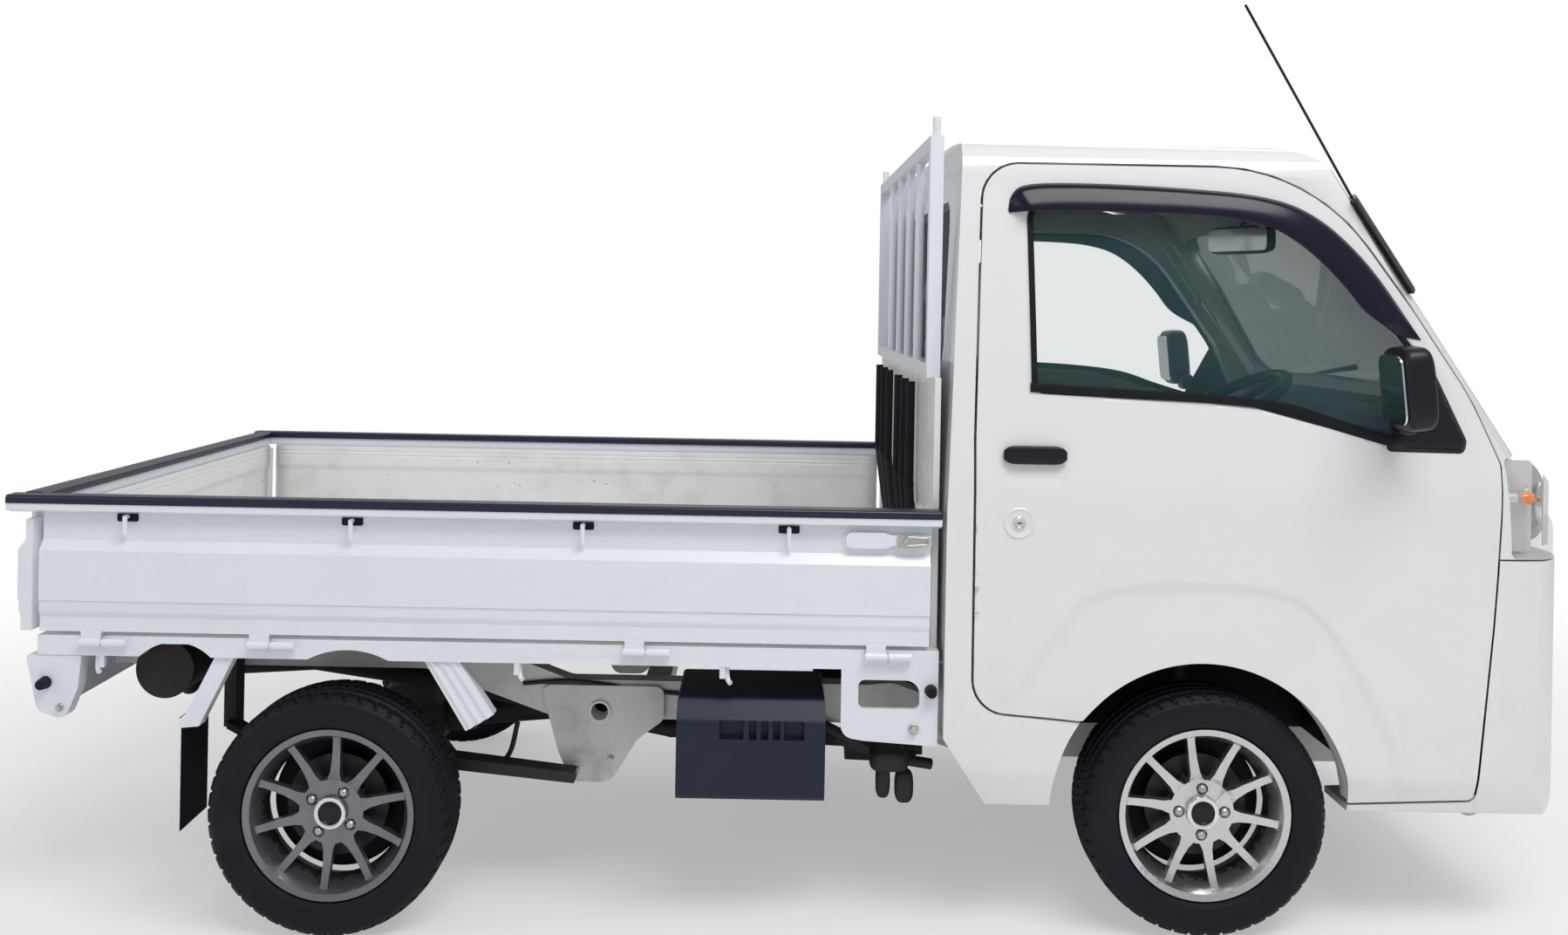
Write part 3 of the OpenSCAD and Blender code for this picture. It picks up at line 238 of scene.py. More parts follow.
rustMetal = material("rustMetal", metalLook((0.022, 0.019, 0.018), (0.016, 0.010, 0.007), 1.0, 0.6),
                     Metallic=0.3)
brightAlloy = material("brightAlloy", metalLook((0.66, 0.66, 0.67), (0.55, 0.55, 0.56), 3.0, 0.18),
                       Metallic=0.95)
darkAlloy = material("darkAlloy", metalLook((0.23, 0.23, 0.26), (0.13, 0.13, 0.15), 3.0, 0.24), Metallic=0.85)
barrelAlloy = material("barrelAlloy", metalLook((0.05, 0.05, 0.055), (0.02, 0.02, 0.022), 2.0, 0.42),
                       Metallic=0.7)
zincMetal = material("zincMetal", metalLook((0.55, 0.55, 0.54), (0.3, 0.29, 0.27), 2.0, 0.28), Metallic=0.9)
chrome = material("chrome", metalLook((0.82, 0.82, 0.83), (0.7, 0.7, 0.72), 1.0, 0.06), Metallic=1.0)
sheetGlass = material("sheetGlass", glassLook((0.14, 0.34, 0.35)), Alpha=0.07, Specular_IOR_Level=0.6)
# windscreen glass: dark teal and two-thirds opaque, partly its own tint and partly a painted reflection of the
# sky
screenGlass = material("screenGlass", glassLook((0.03, 0.17, 0.20)), Alpha=0.66, Specular_IOR_Level=0.6)
lampSilver = material("lampSilver", metalLook((0.78, 0.78, 0.79), (0.62, 0.62, 0.64), 1.0, 0.22),
                      Metallic=0.55)
platePaint = material("platePaint", paintLook((0.74, 0.73, 0.66), (0.5, 0.48, 0.43), 0.3))
# near-black paint under the bed and on the crossmembers: painted shade for the shadow beneath the bed, with
# road film over it
underPaint = material("underPaint", paintLook((0.055, 0.055, 0.056), (0.10, 0.085, 0.07), 0.9, 0.2))
lampGlass = material("lampGlass", glassLook((0.66, 0.67, 0.69)), Alpha=0.3, Specular_IOR_Level=0.7)
amberGlass = material("amberGlass", glassLook((0.85, 0.22, 0.04)), Coat_Weight=0.6)
redGlass = material("redGlass", glassLook((0.42, 0.012, 0.012)), Coat_Weight=0.6)
clearGlass = material("clearGlass", glassLook((0.75, 0.76, 0.76)), Coat_Weight=0.6)
mirrorGlass = material("mirrorGlass", metalLook((0.75, 0.78, 0.8), (0.7, 0.73, 0.75), 1.0, 0.02),
                       Metallic=1.0)
trimPlastic = material("trimPlastic", plasticLook((0.36, 0.37, 0.375), 480.0, 0.55, 0.1))
linerCloth = material("linerCloth", fabricLook((0.36, 0.36, 0.35), (0.30, 0.30, 0.29)), Roughness=0.9)
# dark dashboard plastic with a blue cast that is a painted reflection of the sky on the glass in front of it
dashPlastic = material("dashPlastic", plasticLook((0.02, 0.036, 0.075), 480.0, 0.5, 0.08))
seatCloth = material("seatCloth", fabricLook((0.17, 0.175, 0.19), (0.07, 0.072, 0.08)), Roughness=0.9,
                     Sheen_Weight=0.25)
print("materials made:", len(materials))


def addObject(name, data):
    # a new object in the scene
    made = bpy.data.objects.new(name, data)
    bpy.context.scene.collection.objects.link(made)
    return made


def dress(mesh, mats):
    # one finish or several, in the order of their numbers
    for mat in mats if isinstance(mats, (list, tuple)) else [mats]:
        mesh.materials.append(mat)


def vectors(items, field):
    # one vector of each face or point, as rows
    out = np.zeros(len(items) * 3)
    items.foreach_get(field, out)
    return out.reshape(-1, 3)


def makePiece(name, parts, body, mats, smooth=35.0, thick=0.0, closed=True):
    # parts are (points, faces) or (points, faces, material number); they become one object riding on a body
    points, faces, slots, count = [], [], [], 0
    for part in parts:
        p, f = np.asarray(part[0], float).reshape(-1, 3), part[1]
        points.append(p)
        faces += [[i + count for i in face] for face in (f.tolist() if hasattr(f, "tolist") else f)]
        slots += [part[2] if len(part) > 2 else 0] * len(f)
        count += len(p)
    allPoints = np.concatenate(points)
    mesh = bpy.data.meshes.new(name)
    mesh.from_pydata(toWorld(allPoints).tolist(), [], faces)
    mesh.polygons.foreach_set("material_index", slots)
    piece = addObject(name, mesh)
    dress(mesh, mats)
    mesh.validate()
    work = bmesh.new()
    work.from_mesh(mesh)
    bmesh.ops.remove_doubles(work, verts=work.verts, dist=1e-6)
    if closed:
        bmesh.ops.recalc_face_normals(work, faces=work.faces)
    work.to_mesh(mesh)
    work.free()
    finishMesh(piece, smooth, thick=thick)
    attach(piece, body)
    return piece


def finishMesh(piece, smooth, bevel=0.0, thick=0.0):
    # smooth shading up to an angle, then wall thickness and rounded edges as modifiers
    mesh = piece.data
    mesh.polygons.foreach_set("use_smooth", np.ones(len(mesh.polygons), bool))
    mesh.set_sharp_from_angle(angle=math.radians(smooth))
    mesh.update()
    if thick:
        wall = piece.modifiers.new("wall", "SOLIDIFY")
        wall.thickness, wall.offset, wall.use_even_offset = thick * 0.001, -1, False
    if bevel:
        edge = piece.modifiers.new("edge", "BEVEL")
        edge.width, edge.segments, edge.limit_method = bevel * 0.001, 2, "ANGLE"
        edge.angle_limit, edge.harden_normals = math.radians(smooth), True
        edge.use_clamp_overlap = True


def weldCopy(node, mats, smooth, bevel):
    # a merged copy of a CAD node, smooth shaded with rounded edges, that stands for it
    source = frame["nodes"][node]
    mesh = source.data.copy()
    mesh.name = node + "Shell"
    mesh.materials.clear()
    dress(mesh, mats)
    piece = addObject(mesh.name, mesh)
    work = bmesh.new()
    work.from_mesh(mesh)
    bmesh.ops.remove_doubles(work, verts=work.verts, dist=2e-5)
    bmesh.ops.dissolve_limit(work, angle_limit=math.radians(0.6), verts=work.verts, edges=work.edges)
    work.to_mesh(mesh)
    work.free()
    mesh.polygons.foreach_set("material_index", np.zeros(len(mesh.polygons), np.int32))
    finishMesh(piece, smooth, bevel)
    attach(piece, source["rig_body"])
    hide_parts(node)
    return piece


def gridFaces(m, n, closeU=False, closeV=False):
    # quads of an m by n grid of points, joined at the ends where a direction is closed
    i, j = np.meshgrid(np.arange(m if closeU else m - 1), np.arange(n if closeV else n - 1), indexing="ij")
    a, b = i * n + j, ((i + 1) % m) * n + j
    c, d = ((i + 1) % m) * n + (j + 1) % n, i * n + (j + 1) % n
    return np.stack([a, b, c, d], -1).reshape(-1, 4)


def roundedLine(points, steps=8):
    # corner points with a radius each become arcs tangent to both sides
    out = []
    count = len(points)
    for k in range(count):
        p, q, r = (np.array(points[(k + s) % count][:2], float) for s in (-1, 0, 1))
        radius = points[k][2]
        if radius <= 0:
            out.append(q[None])
            continue
        a, b = (p - q) / np.linalg.norm(p - q), (r - q) / np.linalg.norm(r - q)
        half = math.acos(np.clip(a @ b, -1, 1)) / 2
        centre = q + (a + b) / np.linalg.norm(a + b) * radius / math.sin(half)
        start, end = q + a * radius / math.tan(half) - centre, q + b * radius / math.tan(half) - centre
        turn = math.atan2(start[0] * end[1] - start[1] * end[0], start @ end)
        w = turn * np.linspace(0, 1, steps + 1)[:, None]
        side = np.array([-start[1], start[0]])
        out.append(centre + start * np.cos(w) + side * np.sin(w))
    return np.concatenate(out)


def roundedBox(lo, hi, radius, steps):
    # a rectangle from corner to corner with one radius
    corners = ((lo[0], lo[1]), (hi[0], lo[1]), (hi[0], hi[1]), (lo[0], hi[1]))
    return roundedLine([(*corner, radius) for corner in corners], steps)


def resample(points, count, closed=False):
    # evenly spaced points along a polyline
    p = np.asarray(points, float)
    if closed:
        p = np.concatenate([p, p[:1]])
    run = np.concatenate([[0], np.cumsum(np.linalg.norm(np.diff(p, axis=0), axis=1))])
    t = np.linspace(0, run[-1], count, endpoint=not closed)
    return np.stack([np.interp(t, run, p[:, k]) for k in range(p.shape[1])], -1)


def curve(points, count):
    # a smooth line through control points: Catmull-Rom segments
    p = np.asarray(points, float)
    p = np.concatenate([2 * p[:1] - p[1:2], p, 2 * p[-1:] - p[-2:-1]])
    t = np.linspace(0, len(p) - 3 - 1e-9, count)
    k = t.astype(int)
    u = (t - k)[:, None]
    a, b, c, d = p[k], p[k + 1], p[k + 2], p[k + 3]
    line = 0.5 * (2 * b + (c - a) * u + (2 * a - 5 * b + 4 * c - d) * u ** 2
                  + (3 * b - 3 * c + d - a) * u ** 3)
    return resample(line, count)


def sweep(path, profile, up=(0, 0, 1), closedPath=False, scale=None):
    # a closed profile (side, up) carried along a path; the side is square to the path and the up direction
    path = np.asarray(path, float)
    if closedPath:
        tangent = np.roll(path, -1, 0) - np.roll(path, 1, 0)
    else:
        tangent = np.gradient(path, axis=0)
    tangent /= np.linalg.norm(tangent, axis=1)[:, None]
    side = np.cross(np.broadcast_to(np.asarray(up, float), tangent.shape), tangent)
    side /= np.linalg.norm(side, axis=1)[:, None] + 1e-12
    over = np.cross(tangent, side)
    prof = np.asarray(profile, float)
    size = np.ones(len(path)) if scale is None else np.asarray(scale, float)
    grid = (path[:, None] + side[:, None] * prof[None, :, :1] * size[:, None, None]
            + over[:, None] * prof[None, :, 1:2] * size[:, None, None])
    m, n = grid.shape[:2]
    faces = gridFaces(m, n, closedPath, True).tolist()
    if not closedPath:
        faces += [list(range(n)), [(m - 1) * n + k for k in range(n)][::-1]]
    return grid.reshape(-1, 3), [f[::-1] for f in faces]


def ring(radius, count=12, flat=1.0):
    # a circle, or an ellipse when flat is not 1
    w = np.linspace(0, 2 * np.pi, count, endpoint=False)
    return np.stack([radius * np.cos(w), radius * flat * np.sin(w)], -1)


def tube(path, radius):
    # a round bar along a path; its up direction is a little off upright, so that an upright path has a side
    return sweep(path, ring(radius), (0.03, 0.02, 1))


def lathe(profile, centre, axis="y", count=64, closed=True, sign=1.0):
    # a profile (radius, offset) turned about an axis through the centre
    prof = np.asarray(profile, float)
    w = np.linspace(0, 2 * np.pi, count, endpoint=False)[:, None]
    r, h = prof[None, :, 0], prof[None, :, 1]
    a, b, c = r * np.cos(w), r * np.sin(w), np.broadcast_to(h * sign, (count, len(prof)))
    grid = {"y": np.stack([a, c, b], -1), "x": np.stack([c, a, b], -1), "z": np.stack([a, b, c], -1)}[axis]
    return (grid + np.asarray(centre, float)).reshape(-1, 3), gridFaces(count, len(prof), True, closed)


def softBox(lo, hi, power=5.0, m=24, n=14):
    # a superquadric: a box with rounded faces and edges, squarer as the power grows
    lo, hi = np.asarray(lo, float), np.asarray(hi, float)
    u, v = np.meshgrid(np.linspace(-np.pi, np.pi, m, endpoint=False), np.linspace(-np.pi / 2, np.pi / 2, n),
                       indexing="ij")
    soft = lambda w: np.sign(w) * np.abs(w) ** (2.0 / power)
    belt = soft(np.cos(v))
    unit = np.stack([belt * soft(np.cos(u)), belt * soft(np.sin(u)), soft(np.sin(v))], -1)
    return ((lo + hi) / 2 + unit * (hi - lo) / 2).reshape(-1, 3), gridFaces(m, n, True)


def slab(outline, lo, hi, axis="y", side=1.0):
    # an outline in the plane across an axis, given thickness from lo to hi along that axis
    p = np.asarray(outline, float)
    n = len(p)
    levels = [np.insert(p, {"x": 0, "y": 1, "z": 2}[axis], h * (side if axis == "y" else 1.0), axis=1)
              for h in (lo, hi)]
    k = np.arange(n)
    walls = np.stack([k, (k + 1) % n, n + (k + 1) % n, n + k], -1).tolist()
    return np.concatenate(levels), walls + [list(range(n))[::-1], list(range(n, 2 * n))]


def edgeLoop(outline, step):
    # even points along a closed outline, closer than the step
    return resample(outline, max(8, int(perimeter(outline) / step * 1.6)), True)


def fillSheet(outline, holes, step):
    # flat triangles over an outline less its holes, with a grid of points inside at about the step
    loops = [edgeLoop(line, step) for line in [outline] + holes]
    points, edges = [], []
    for loop in loops:
        start = sum(len(q) for q in points)
        points.append(loop)
        k = np.arange(len(loop))
        edges += np.stack([start + k, start + (k + 1) % len(loop)], -1).tolist()
    border = np.concatenate(points)
    lo, hi = loops[0].min(0), loops[0].max(0)
    gx, gy = np.meshgrid(np.arange(lo[0] + step / 2, hi[0], step), np.arange(lo[1] + step / 2, hi[1], step))
    inner = np.stack([gx.ravel(), gy.ravel()], -1)
    near = ((inner[:, None] - border[None]) ** 2).sum(-1).min(1)
    inner = inner[near > (0.45 * step) ** 2]
    everything = np.concatenate([border, inner])
    made = delaunay_2d_cdt([Vector(q) for q in everything.tolist()], edges, [], 0, 1e-5)
    flat, faces = np.array([list(q) for q in made[0]]), np.array([list(f) for f in made[2]])
    middle = flat[faces].mean(1)
    keep = inside(middle, outline)
    for hole in holes:
        keep &= ~inside(middle, hole)
    used, faces = np.unique(faces[keep], return_inverse=True)
    return flat[used], faces.reshape(-1, 3)


def perimeter(p):
    p = np.asarray(p, float)
    return np.linalg.norm(np.roll(p, -1, 0) - p, axis=1).sum()


def inside(points, outline):
    # even-odd test of many points against one outline
    p, q = np.asarray(outline, float), np.roll(np.asarray(outline, float), -1, 0)
    x, y = points[..., 0, None], points[..., 1, None]
    cross = ((p[:, 1] > y) != (q[:, 1] > y)) & (
        x < (q[:, 0] - p[:, 0]) * (y - p[:, 1]) / (q[:, 1] - p[:, 1] + 1e-12) + p[:, 0])
    return cross.sum(-1) % 2 == 1


def edgeDistance(points, outline):
    # distance of many points from an outline's nearest edge
    a = np.asarray(outline, float)
    b = np.roll(a, -1, 0)
    d = b - a
    rel = points[:, None] - a[None]
    t = np.clip((rel * d).sum(-1) / ((d * d).sum(-1) + 1e-12), 0, 1)
    return np.sqrt(((rel - t[..., None] * d) ** 2).sum(-1).min(1))


# Camera and studio
shot = {"place": (-0.0635, -3.663, 1.378), "lens": 31.254, "shift": (0.01224, -0.1057)}
camera = addObject("camera", bpy.data.cameras.new("camera"))
camera.location, camera.rotation_euler = shot["place"], (math.pi / 2, 0, 0)
camera.data.sensor_width, camera.data.lens = 36.0, shot["lens"]
camera.data.shift_x, camera.data.shift_y = shot["shift"]
camera.data.clip_start, camera.data.clip_end = 0.05, 200.0
bpy.context.scene.camera = camera
bpy.context.scene.view_settings.view_transform = "Standard"

studio = {"world": 0.43, "key": 212.0, "fill": 46.0, "back": 60.0}
world = bpy.data.worlds.new("studio")
bpy.context.scene.world = world
world.use_nodes = True
sky = world.node_tree
path = Value(sky, sky.nodes.new("ShaderNodeLightPath").outputs["Is Camera Ray"])
through = Value(sky, path.socket.node.outputs["Is Transmission Ray"])
seen = (path + through).math("MINIMUM", 1.0)
strength = seen * (1.0 - studio["world"]) + studio["world"]
ground = sky.nodes["Background"]
ground.inputs["Color"].default_value = rgb(1, 1, 1)
sky.links.new(strength.socket, ground.inputs["Strength"])


def areaLight(name, place, target, size, power, colour=(1, 1, 1)):
    lamp = addObject(name, bpy.data.lights.new(name, "AREA"))
    lamp.data.shape, lamp.data.size, lamp.data.size_y = "RECTANGLE", size[0], size[1]
    lamp.data.energy, lamp.data.color = power, colour
    lamp.location = place
    lamp.rotation_euler = (Vector(target) - Vector(place)).to_track_quat("-Z", "Y").to_euler()


areaLight("keyLight", (1.8, -3.6, 5.8), (0.2, 0, 0.8), (4.5, 2.0), studio["key"], (1.0, 0.985, 0.96))
areaLight("fillLight", (-5.5, -2.5, 3.0), (0, 0, 0.8), (4.0, 3.0), studio["fill"], (0.93, 0.97, 1.0))
areaLight("backLight", (1.0, 5.0, 4.5), (0, 0, 0.8), (7.0, 3.0), studio["back"])


def floorLook():
    # pale floor that keeps the shadow near the truck and fades to plain white further out
    made = bpy.data.materials.new("floorLook")
    made.use_nodes = True
    tree = made.node_tree
    shader, output = tree.nodes["Principled BSDF"], tree.nodes["Material Output"]
    shader.inputs["Roughness"].default_value = 0.9
    place = Value(tree, tree.nodes.new("ShaderNodeTexCoord").outputs["Object"])
    tone = place.noise(3.0, 4.0).mix(rgb(0.95, 0.955, 0.96), rgb(0.92, 0.925, 0.93))
    tree.links.new(tone.socket, shader.inputs["Base Color"])
    far = place.make("ShaderNodeVectorMath", {"operation": "LENGTH"}, {0: place}, "Value").ramp(1.9, 4.6)
    glow = tree.nodes.new("ShaderNodeEmission")
    blend = tree.nodes.new("ShaderNodeMixShader")
    ray = Value(tree, tree.nodes.new("ShaderNodeLightPath").outputs["Is Camera Ray"])
    tree.links.new(((far * 0.6 + 0.4) * ray).socket, blend.inputs[0])
    tree.links.new(shader.outputs[0], blend.inputs[1])
    tree.links.new(glow.outputs[0], blend.inputs[2])
    tree.links.new(blend.outputs[0], output.inputs["Surface"])
    return made


gx, gy = np.meshgrid(np.linspace(-60, 60, 9), np.linspace(-60, 60, 9), indexing="ij")
floorMesh = bpy.data.meshes.new("floor")
floorPoints = np.stack([gx, gy, gx * 0 - 0.0006], -1).reshape(-1, 3)
floorMesh.from_pydata(floorPoints.tolist(), [], gridFaces(9, 9).tolist())
floorMesh.materials.append(floorLook())
floor = addObject("floor", floorMesh)
print("studio ready")

# CAD nodes: a welded copy with rounded edges where a width is given, or the node itself with a new finish
nodeLooks = {
    "cab_sides": (bodyPaint, 1.5), "cab_roof": (bodyPaint, 2.0), "cab_back": (bodyPaint, 1.5),
    "front_panel": (bodyPaint, 1.5), "front_bumper": (bodyPaint, 2.0), "door_right": (bodyPaint, 1.2),
    "door_left": (bodyPaint, 1.2), "cab_floor": (rubber, 1.0), "bumper_grille": (blackPlastic, 1.0),
    # the windscreen's dark teal is partly its tint and partly a painted reflection
    "windscreen": (screenGlass, None), "rear_window": (sheetGlass, None), "headlamps": (lampGlass, 1.0),
    # the dashboard's blue cast is a painted sky reflection
    "wipers": (blackPlastic, 1.0), "dashboard": (dashPlastic, 4.0), "powertrain": (darkMetal, 3.0),
    "prop_shaft": (darkMetal, None), "fuel_tank": (boxPlastic, 3.0), "battery_box": (boxPlastic, 3.0),
    "exhaust": (rustMetal, None), "bed_floor": (bedPaint, 1.2), "bulkhead": (bedPaint, 1.5),
    "guard_frame": (gatePaint, 2.0), "rear_panel": (gatePaint, 1.5), "tail_lamps": (redGlass, 3.0),
    "gate_stops": (rubber, 1.5), "mudguards": (gatePaint, 1.0), "front_suspension": (darkMetal, 2.0),
    "rear_axle": (darkMetal, 2.0), "leaf_springs": (darkMetal, 1.0), "antenna": (blackPlastic, 0.6),
    # the crossmembers take the near-black painted shade of the bed's underside
    "rail_right": (framePaint, 3.0), "rail_left": (framePaint, 3.0), "crossmembers": (underPaint, 3.0),
    "steering_column": (blackPlastic, 2.0), "steering_wheel": (blackPlastic, 2.0),
    "knuckle_right": (darkMetal, 1.5), "knuckle_left": (darkMetal, 1.5),
    "door_glass_right": (sheetGlass, None), "door_glass_left": (sheetGlass, None),
    "gate_right": (gatePaint, 1.2), "gate_left": (gatePaint, 1.2), "gate_tail": (gatePaint, 1.2),
    "gate_cover_right": (railPlastic, 2.0), "gate_cover_left": (railPlastic, 2.0),
    "gate_cover_tail": (railPlastic, 2.0), "rubber_straps": (rubber, None),
}
curvedNodes = ("cab_sides", "cab_roof", "cab_back", "front_panel", "front_bumper", "door_right", "door_left",
               "headlamps", "wipers", "exhaust", "powertrain", "front_suspension", "rear_axle",
               "steering_wheel", "steering_column", "dashboard", "gate_stops", "knuckle_right", "knuckle_left",
               "antenna", "battery_box", "fuel_tank", "guard_frame")
shells = {}
for node, (mat, bevel) in nodeLooks.items():
    if bevel:
        shells[node] = weldCopy(node, mat, 32.0 if node in curvedNodes else 12.0, bevel)
    else:
        frame["nodes"][node].data.materials.clear()
        dress(frame["nodes"][node].data, mat)
print("CAD nodes dressed:", len(nodeLooks))

# Wheels
wheel = {"tyreRadius": 265.0, "blocks": 46, "turns": 460, "across": 96, "groove": 6.0,
         "barrel": {"radius": 175, "face": 15}, "cap": {"radius": 30.5, "face": 41},
         "nuts": {"circle": 50, "reach": 12.5, "foot": 27, "pocket": 40}}
spots = {"front_right": (stance["frontHub"], -1), "front_left": (stance["frontHub"], 1),
         "rear_right": (stance["rearHub"], -1), "rear_left": (stance["rearHub"], 1)}


def tyreSurface(hub, side):
    # a rounded section turned about the axle; long grooves and slanted cross cuts are taken from the tread
    r = wheel["tyreRadius"]
    section = roundedLine([(178.5, -51, 0), (189.2, -57, 3), (190, -65, 3), (226, -82, 46), (249, -76, 16),
                           (261.5, -61, 12), (r, -40, 40), (r, 40, 40), (261.5, 61, 12), (249, 76, 16),
                           (226, 82, 46), (190, 65, 3), (189.2, 57, 3), (178.5, 51, 0), (182, 0, 0)], 10)
    section = resample(section, wheel["across"] * 2, True)
    theta = np.linspace(0, 2 * np.pi, wheel["turns"], endpoint=False)[:, None]
    rad, off = section[None, :, 0], section[None, :, 1]
    tread = np.clip((rad - 250) / 8, 0, 1)
    grooves = ((-41, 4), (-15, 5), (15, 5), (41, 4))
    long = sum(np.clip(1 - (np.abs(off - c) / w) ** 6, 0, 1) for c, w in grooves)
    phase = theta * wheel["blocks"] / (2 * np.pi)
    slant = (phase + 0.010 * np.abs(off) + 0.25 * np.sign(off)) % 1.0
    shoulder = np.clip((np.abs(off) - 45) / 2, 0, 1) * (np.abs(slant - 0.5) < 0.11)
    sipe = np.clip((44 - np.abs(off)) / 2, 0, 1) * (np.abs((slant * 2) % 1 - 0.5) < 0.09)
    cut = np.clip(np.maximum(long, np.maximum(0.75 * shoulder, 0.4 * sipe)), 0, 1) * wheel["groove"] * tread
    wall = np.clip((np.abs(off) - 62) / 6, 0, 1) * (rad < 252)
    rib = wall * (0.8 * np.exp(-((rad - 200) / 3.0) ** 2) + 0.5 * np.exp(-((rad - 240) / 1.5) ** 2)
                  + 0.35 * np.exp(-((rad - 246) / 1.2) ** 2)) * np.sign(off)
    radius = rad - cut
    grid = np.stack([hub[0] + radius * np.cos(theta), side * (stance["wheelY"] + off + rib + 0 * theta),
                     hub[1] + radius * np.sin(theta)], -1)
    faces = gridFaces(wheel["turns"], len(section), True, True)
    return grid.reshape(-1, 3), faces if side < 0 else faces[:, ::-1]


def faceSlots(piece, rule):
    # picks each face's finish from its centre, in the truck's level frame, and its normal
    faces = piece.data.polygons
    slots = rule(fromWorld(vectors(faces, "center")), vectors(faces, "normal"))
    faces.foreach_set("material_index", slots.astype(np.int32))


def rimSlots(c, hub, side):
    # the barrel behind the spokes, the nuts in their pockets and the cap each have a finish of their own
    rad, off = np.hypot(c[:, 0] - hub[0], c[:, 2] - hub[1]), c[:, 1] * side - stance["wheelY"]
    barrel, nuts, cap = wheel["barrel"], wheel["nuts"], wheel["cap"]
    slot = np.where((off < barrel["face"]) & (rad < barrel["radius"]), 1, 0)
    nut = (np.abs(rad - nuts["circle"]) < nuts["reach"]) & (off > nuts["foot"])
    slot = np.where(nut & (np.abs(off - nuts["pocket"]) > 0.6), 2, slot)
    return np.where((rad < cap["radius"]) & (off > cap["face"]), 3, slot)


for spot, (hub, side) in spots.items():
    tyre = makePiece("tread_" + spot, [tyreSurface(hub, side)], "wheel_" + spot, tyreRubber, smooth=30)
    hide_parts("tyre_" + spot)
    alloy = brightAlloy if "front" in spot else darkAlloy
    rim = weldCopy("rim_" + spot, [alloy, barrelAlloy, zincMetal, blackPlastic], smooth=30, bevel=0.9)

    faceSlots(rim, lambda c, n: rimSlots(c, hub, side))
    centre = (hub[0], side * stance["wheelY"], hub[1])
    cap = lathe([(26, 47.5), (33, 46.5), (35.5, 48), (34, 51), (29, 51.5), (26, 50)], centre,
                "y", 56, True, side)
    stem = (hub[0] + 96, centre[1], hub[1] - 128)
    valve = lathe([(0, 0), (4, 0), (4, 26), (2.5, 30), (0, 30)], stem, "y", 20, False, side)
    makePiece("capRing_" + spot, [(*cap, 0), (*valve, 1)], "wheel_" + spot, [chrome, rubber], 50)
    # a near-black disc inside each wheel, partly the brake's backing plate and partly painted shade, darkens
    # the gaps between the spokes where the floor would show through
    shadeDisc = lathe([(88, -50), (146, -46), (150, -42), (151, -46), (147, -51), (88, -55)], centre,
                   "y", 72, True, side)
    carrier = spot.replace("front", "knuckle") if "front" in spot else "chassis"
    makePiece("brakeShield_" + spot, [shadeDisc], carrier, rubber, 40)
print("wheels made")

# Cab side surface
cabShape = {
    "section": [(0, 294, 0), (716, 294, 10), (735, 372, 150), (735, 985, 700), (655, 1738, 80), (0, 1790, 0)],
    "screen": [(-1400, 0, 0), (-1400, 800, 0), (0, 724, 150), (62, 0, 0)],
    "screenFoot": (1517.0, 1159.0), "screenLean": 33.4, "archCentre": (868.0, 296.3), "archRadius": 322.0,
    "door": [(376, 506, 72), (668, 484, 0), (868, 400, 0), (1190, 318, 0), (1457, 330, 12), (1489, 700, 400),
             (1511, 1052, 40), (1452, 1199, 400), (1109, 1690, 400), (390, 1690, 80), (374, 1090, 900)],
    "window": [(494, 1193, 22), (960, 1172, 300), (1140, 1128, 200), (1262, 1094, 80), (1426, 1084, 26),
               (1345, 1268, 250), (1092, 1612, 330), (484, 1612, 42)],
}
sectionLine = roundedLine(cabShape["section"], 14)
sectionLine = sectionLine[sectionLine[:, 0] > 500]
sectionLine = sectionLine[np.argsort(sectionLine[:, 1])]
screenLine = roundedLine(cabShape["screen"], 14)[1:]
screenLine = screenLine[np.argsort(screenLine[:, 0])]


def sideY(x, z):
    # half width of the cab at a place on its side: the smaller of the section's and the windscreen frame's
    foot, turn = cabShape["screenFoot"], math.radians(cabShape["screenLean"])
    ahead = (x - foot[0]) * math.cos(turn) + (z - foot[1]) * math.sin(turn)
    return np.minimum(np.interp(z, sectionLine[:, 1], sectionLine[:, 0]),
                      np.interp(ahead, screenLine[:, 0], screenLine[:, 1]))


def smoothStep(t):
    t = np.clip(t, 0, 1)
    return t * t * (3 - 2 * t)


def onSide(line, lift, side):
    # points (x, z) laid on the cab's side, raised by lift
    line = np.asarray(line, float)
    return np.stack([line[:, 0], side * (sideY(line[:, 0], line[:, 1]) + lift), line[:, 1]], -1)


doorSkin = {"flare": [(452, 500), (466, 549), (520, 640), (595, 739), (650, 768), (716, 783), (840, 788),
                      (960, 786), (1035, 773), (1092, 748), (1150, 690), (1207, 600), (1255, 510), (1295, 414),
                      (1310, 300)],
            "swell": 6.0, "reach": 110.0, "flareStep": 18.0, "edgeFade": 60.0, "lip": 8.0, "lipFrom": 30.0,
            "lipReach": 100.0, "step": 11.0, "lift": 1.5,
            "grip": [(434, 1000, 12), (563, 1000, 12), (563, 1050, 12), (434, 1050, 12)],
            "gripDepth": 6.0, "gripWall": 12.0, "key": (467.0, 911.0)}


def doorOutline():
    # the door's edge line with the wheel arch's arc in place of the stretch inside it
    line = resample(roundedLine(cabShape["door"], 10), 900, True)
    centre, radius = np.array(cabShape["archCentre"]), cabShape["archRadius"]
    hidden = np.linalg.norm(line - centre, axis=1) < radius
    first = int(np.argmax(hidden & ~np.roll(hidden, 1)))
    line, hidden = np.roll(line, -first, 0), np.roll(hidden, -first)
    kept = line[~hidden]
    a, b = (math.atan2(*(q - centre)[::-1]) for q in (kept[-1], kept[0]))
    arc = np.linspace(a, b, 120)[:, None]
    return np.concatenate([kept, centre + radius * np.concatenate([np.cos(arc), np.sin(arc)], 1)])


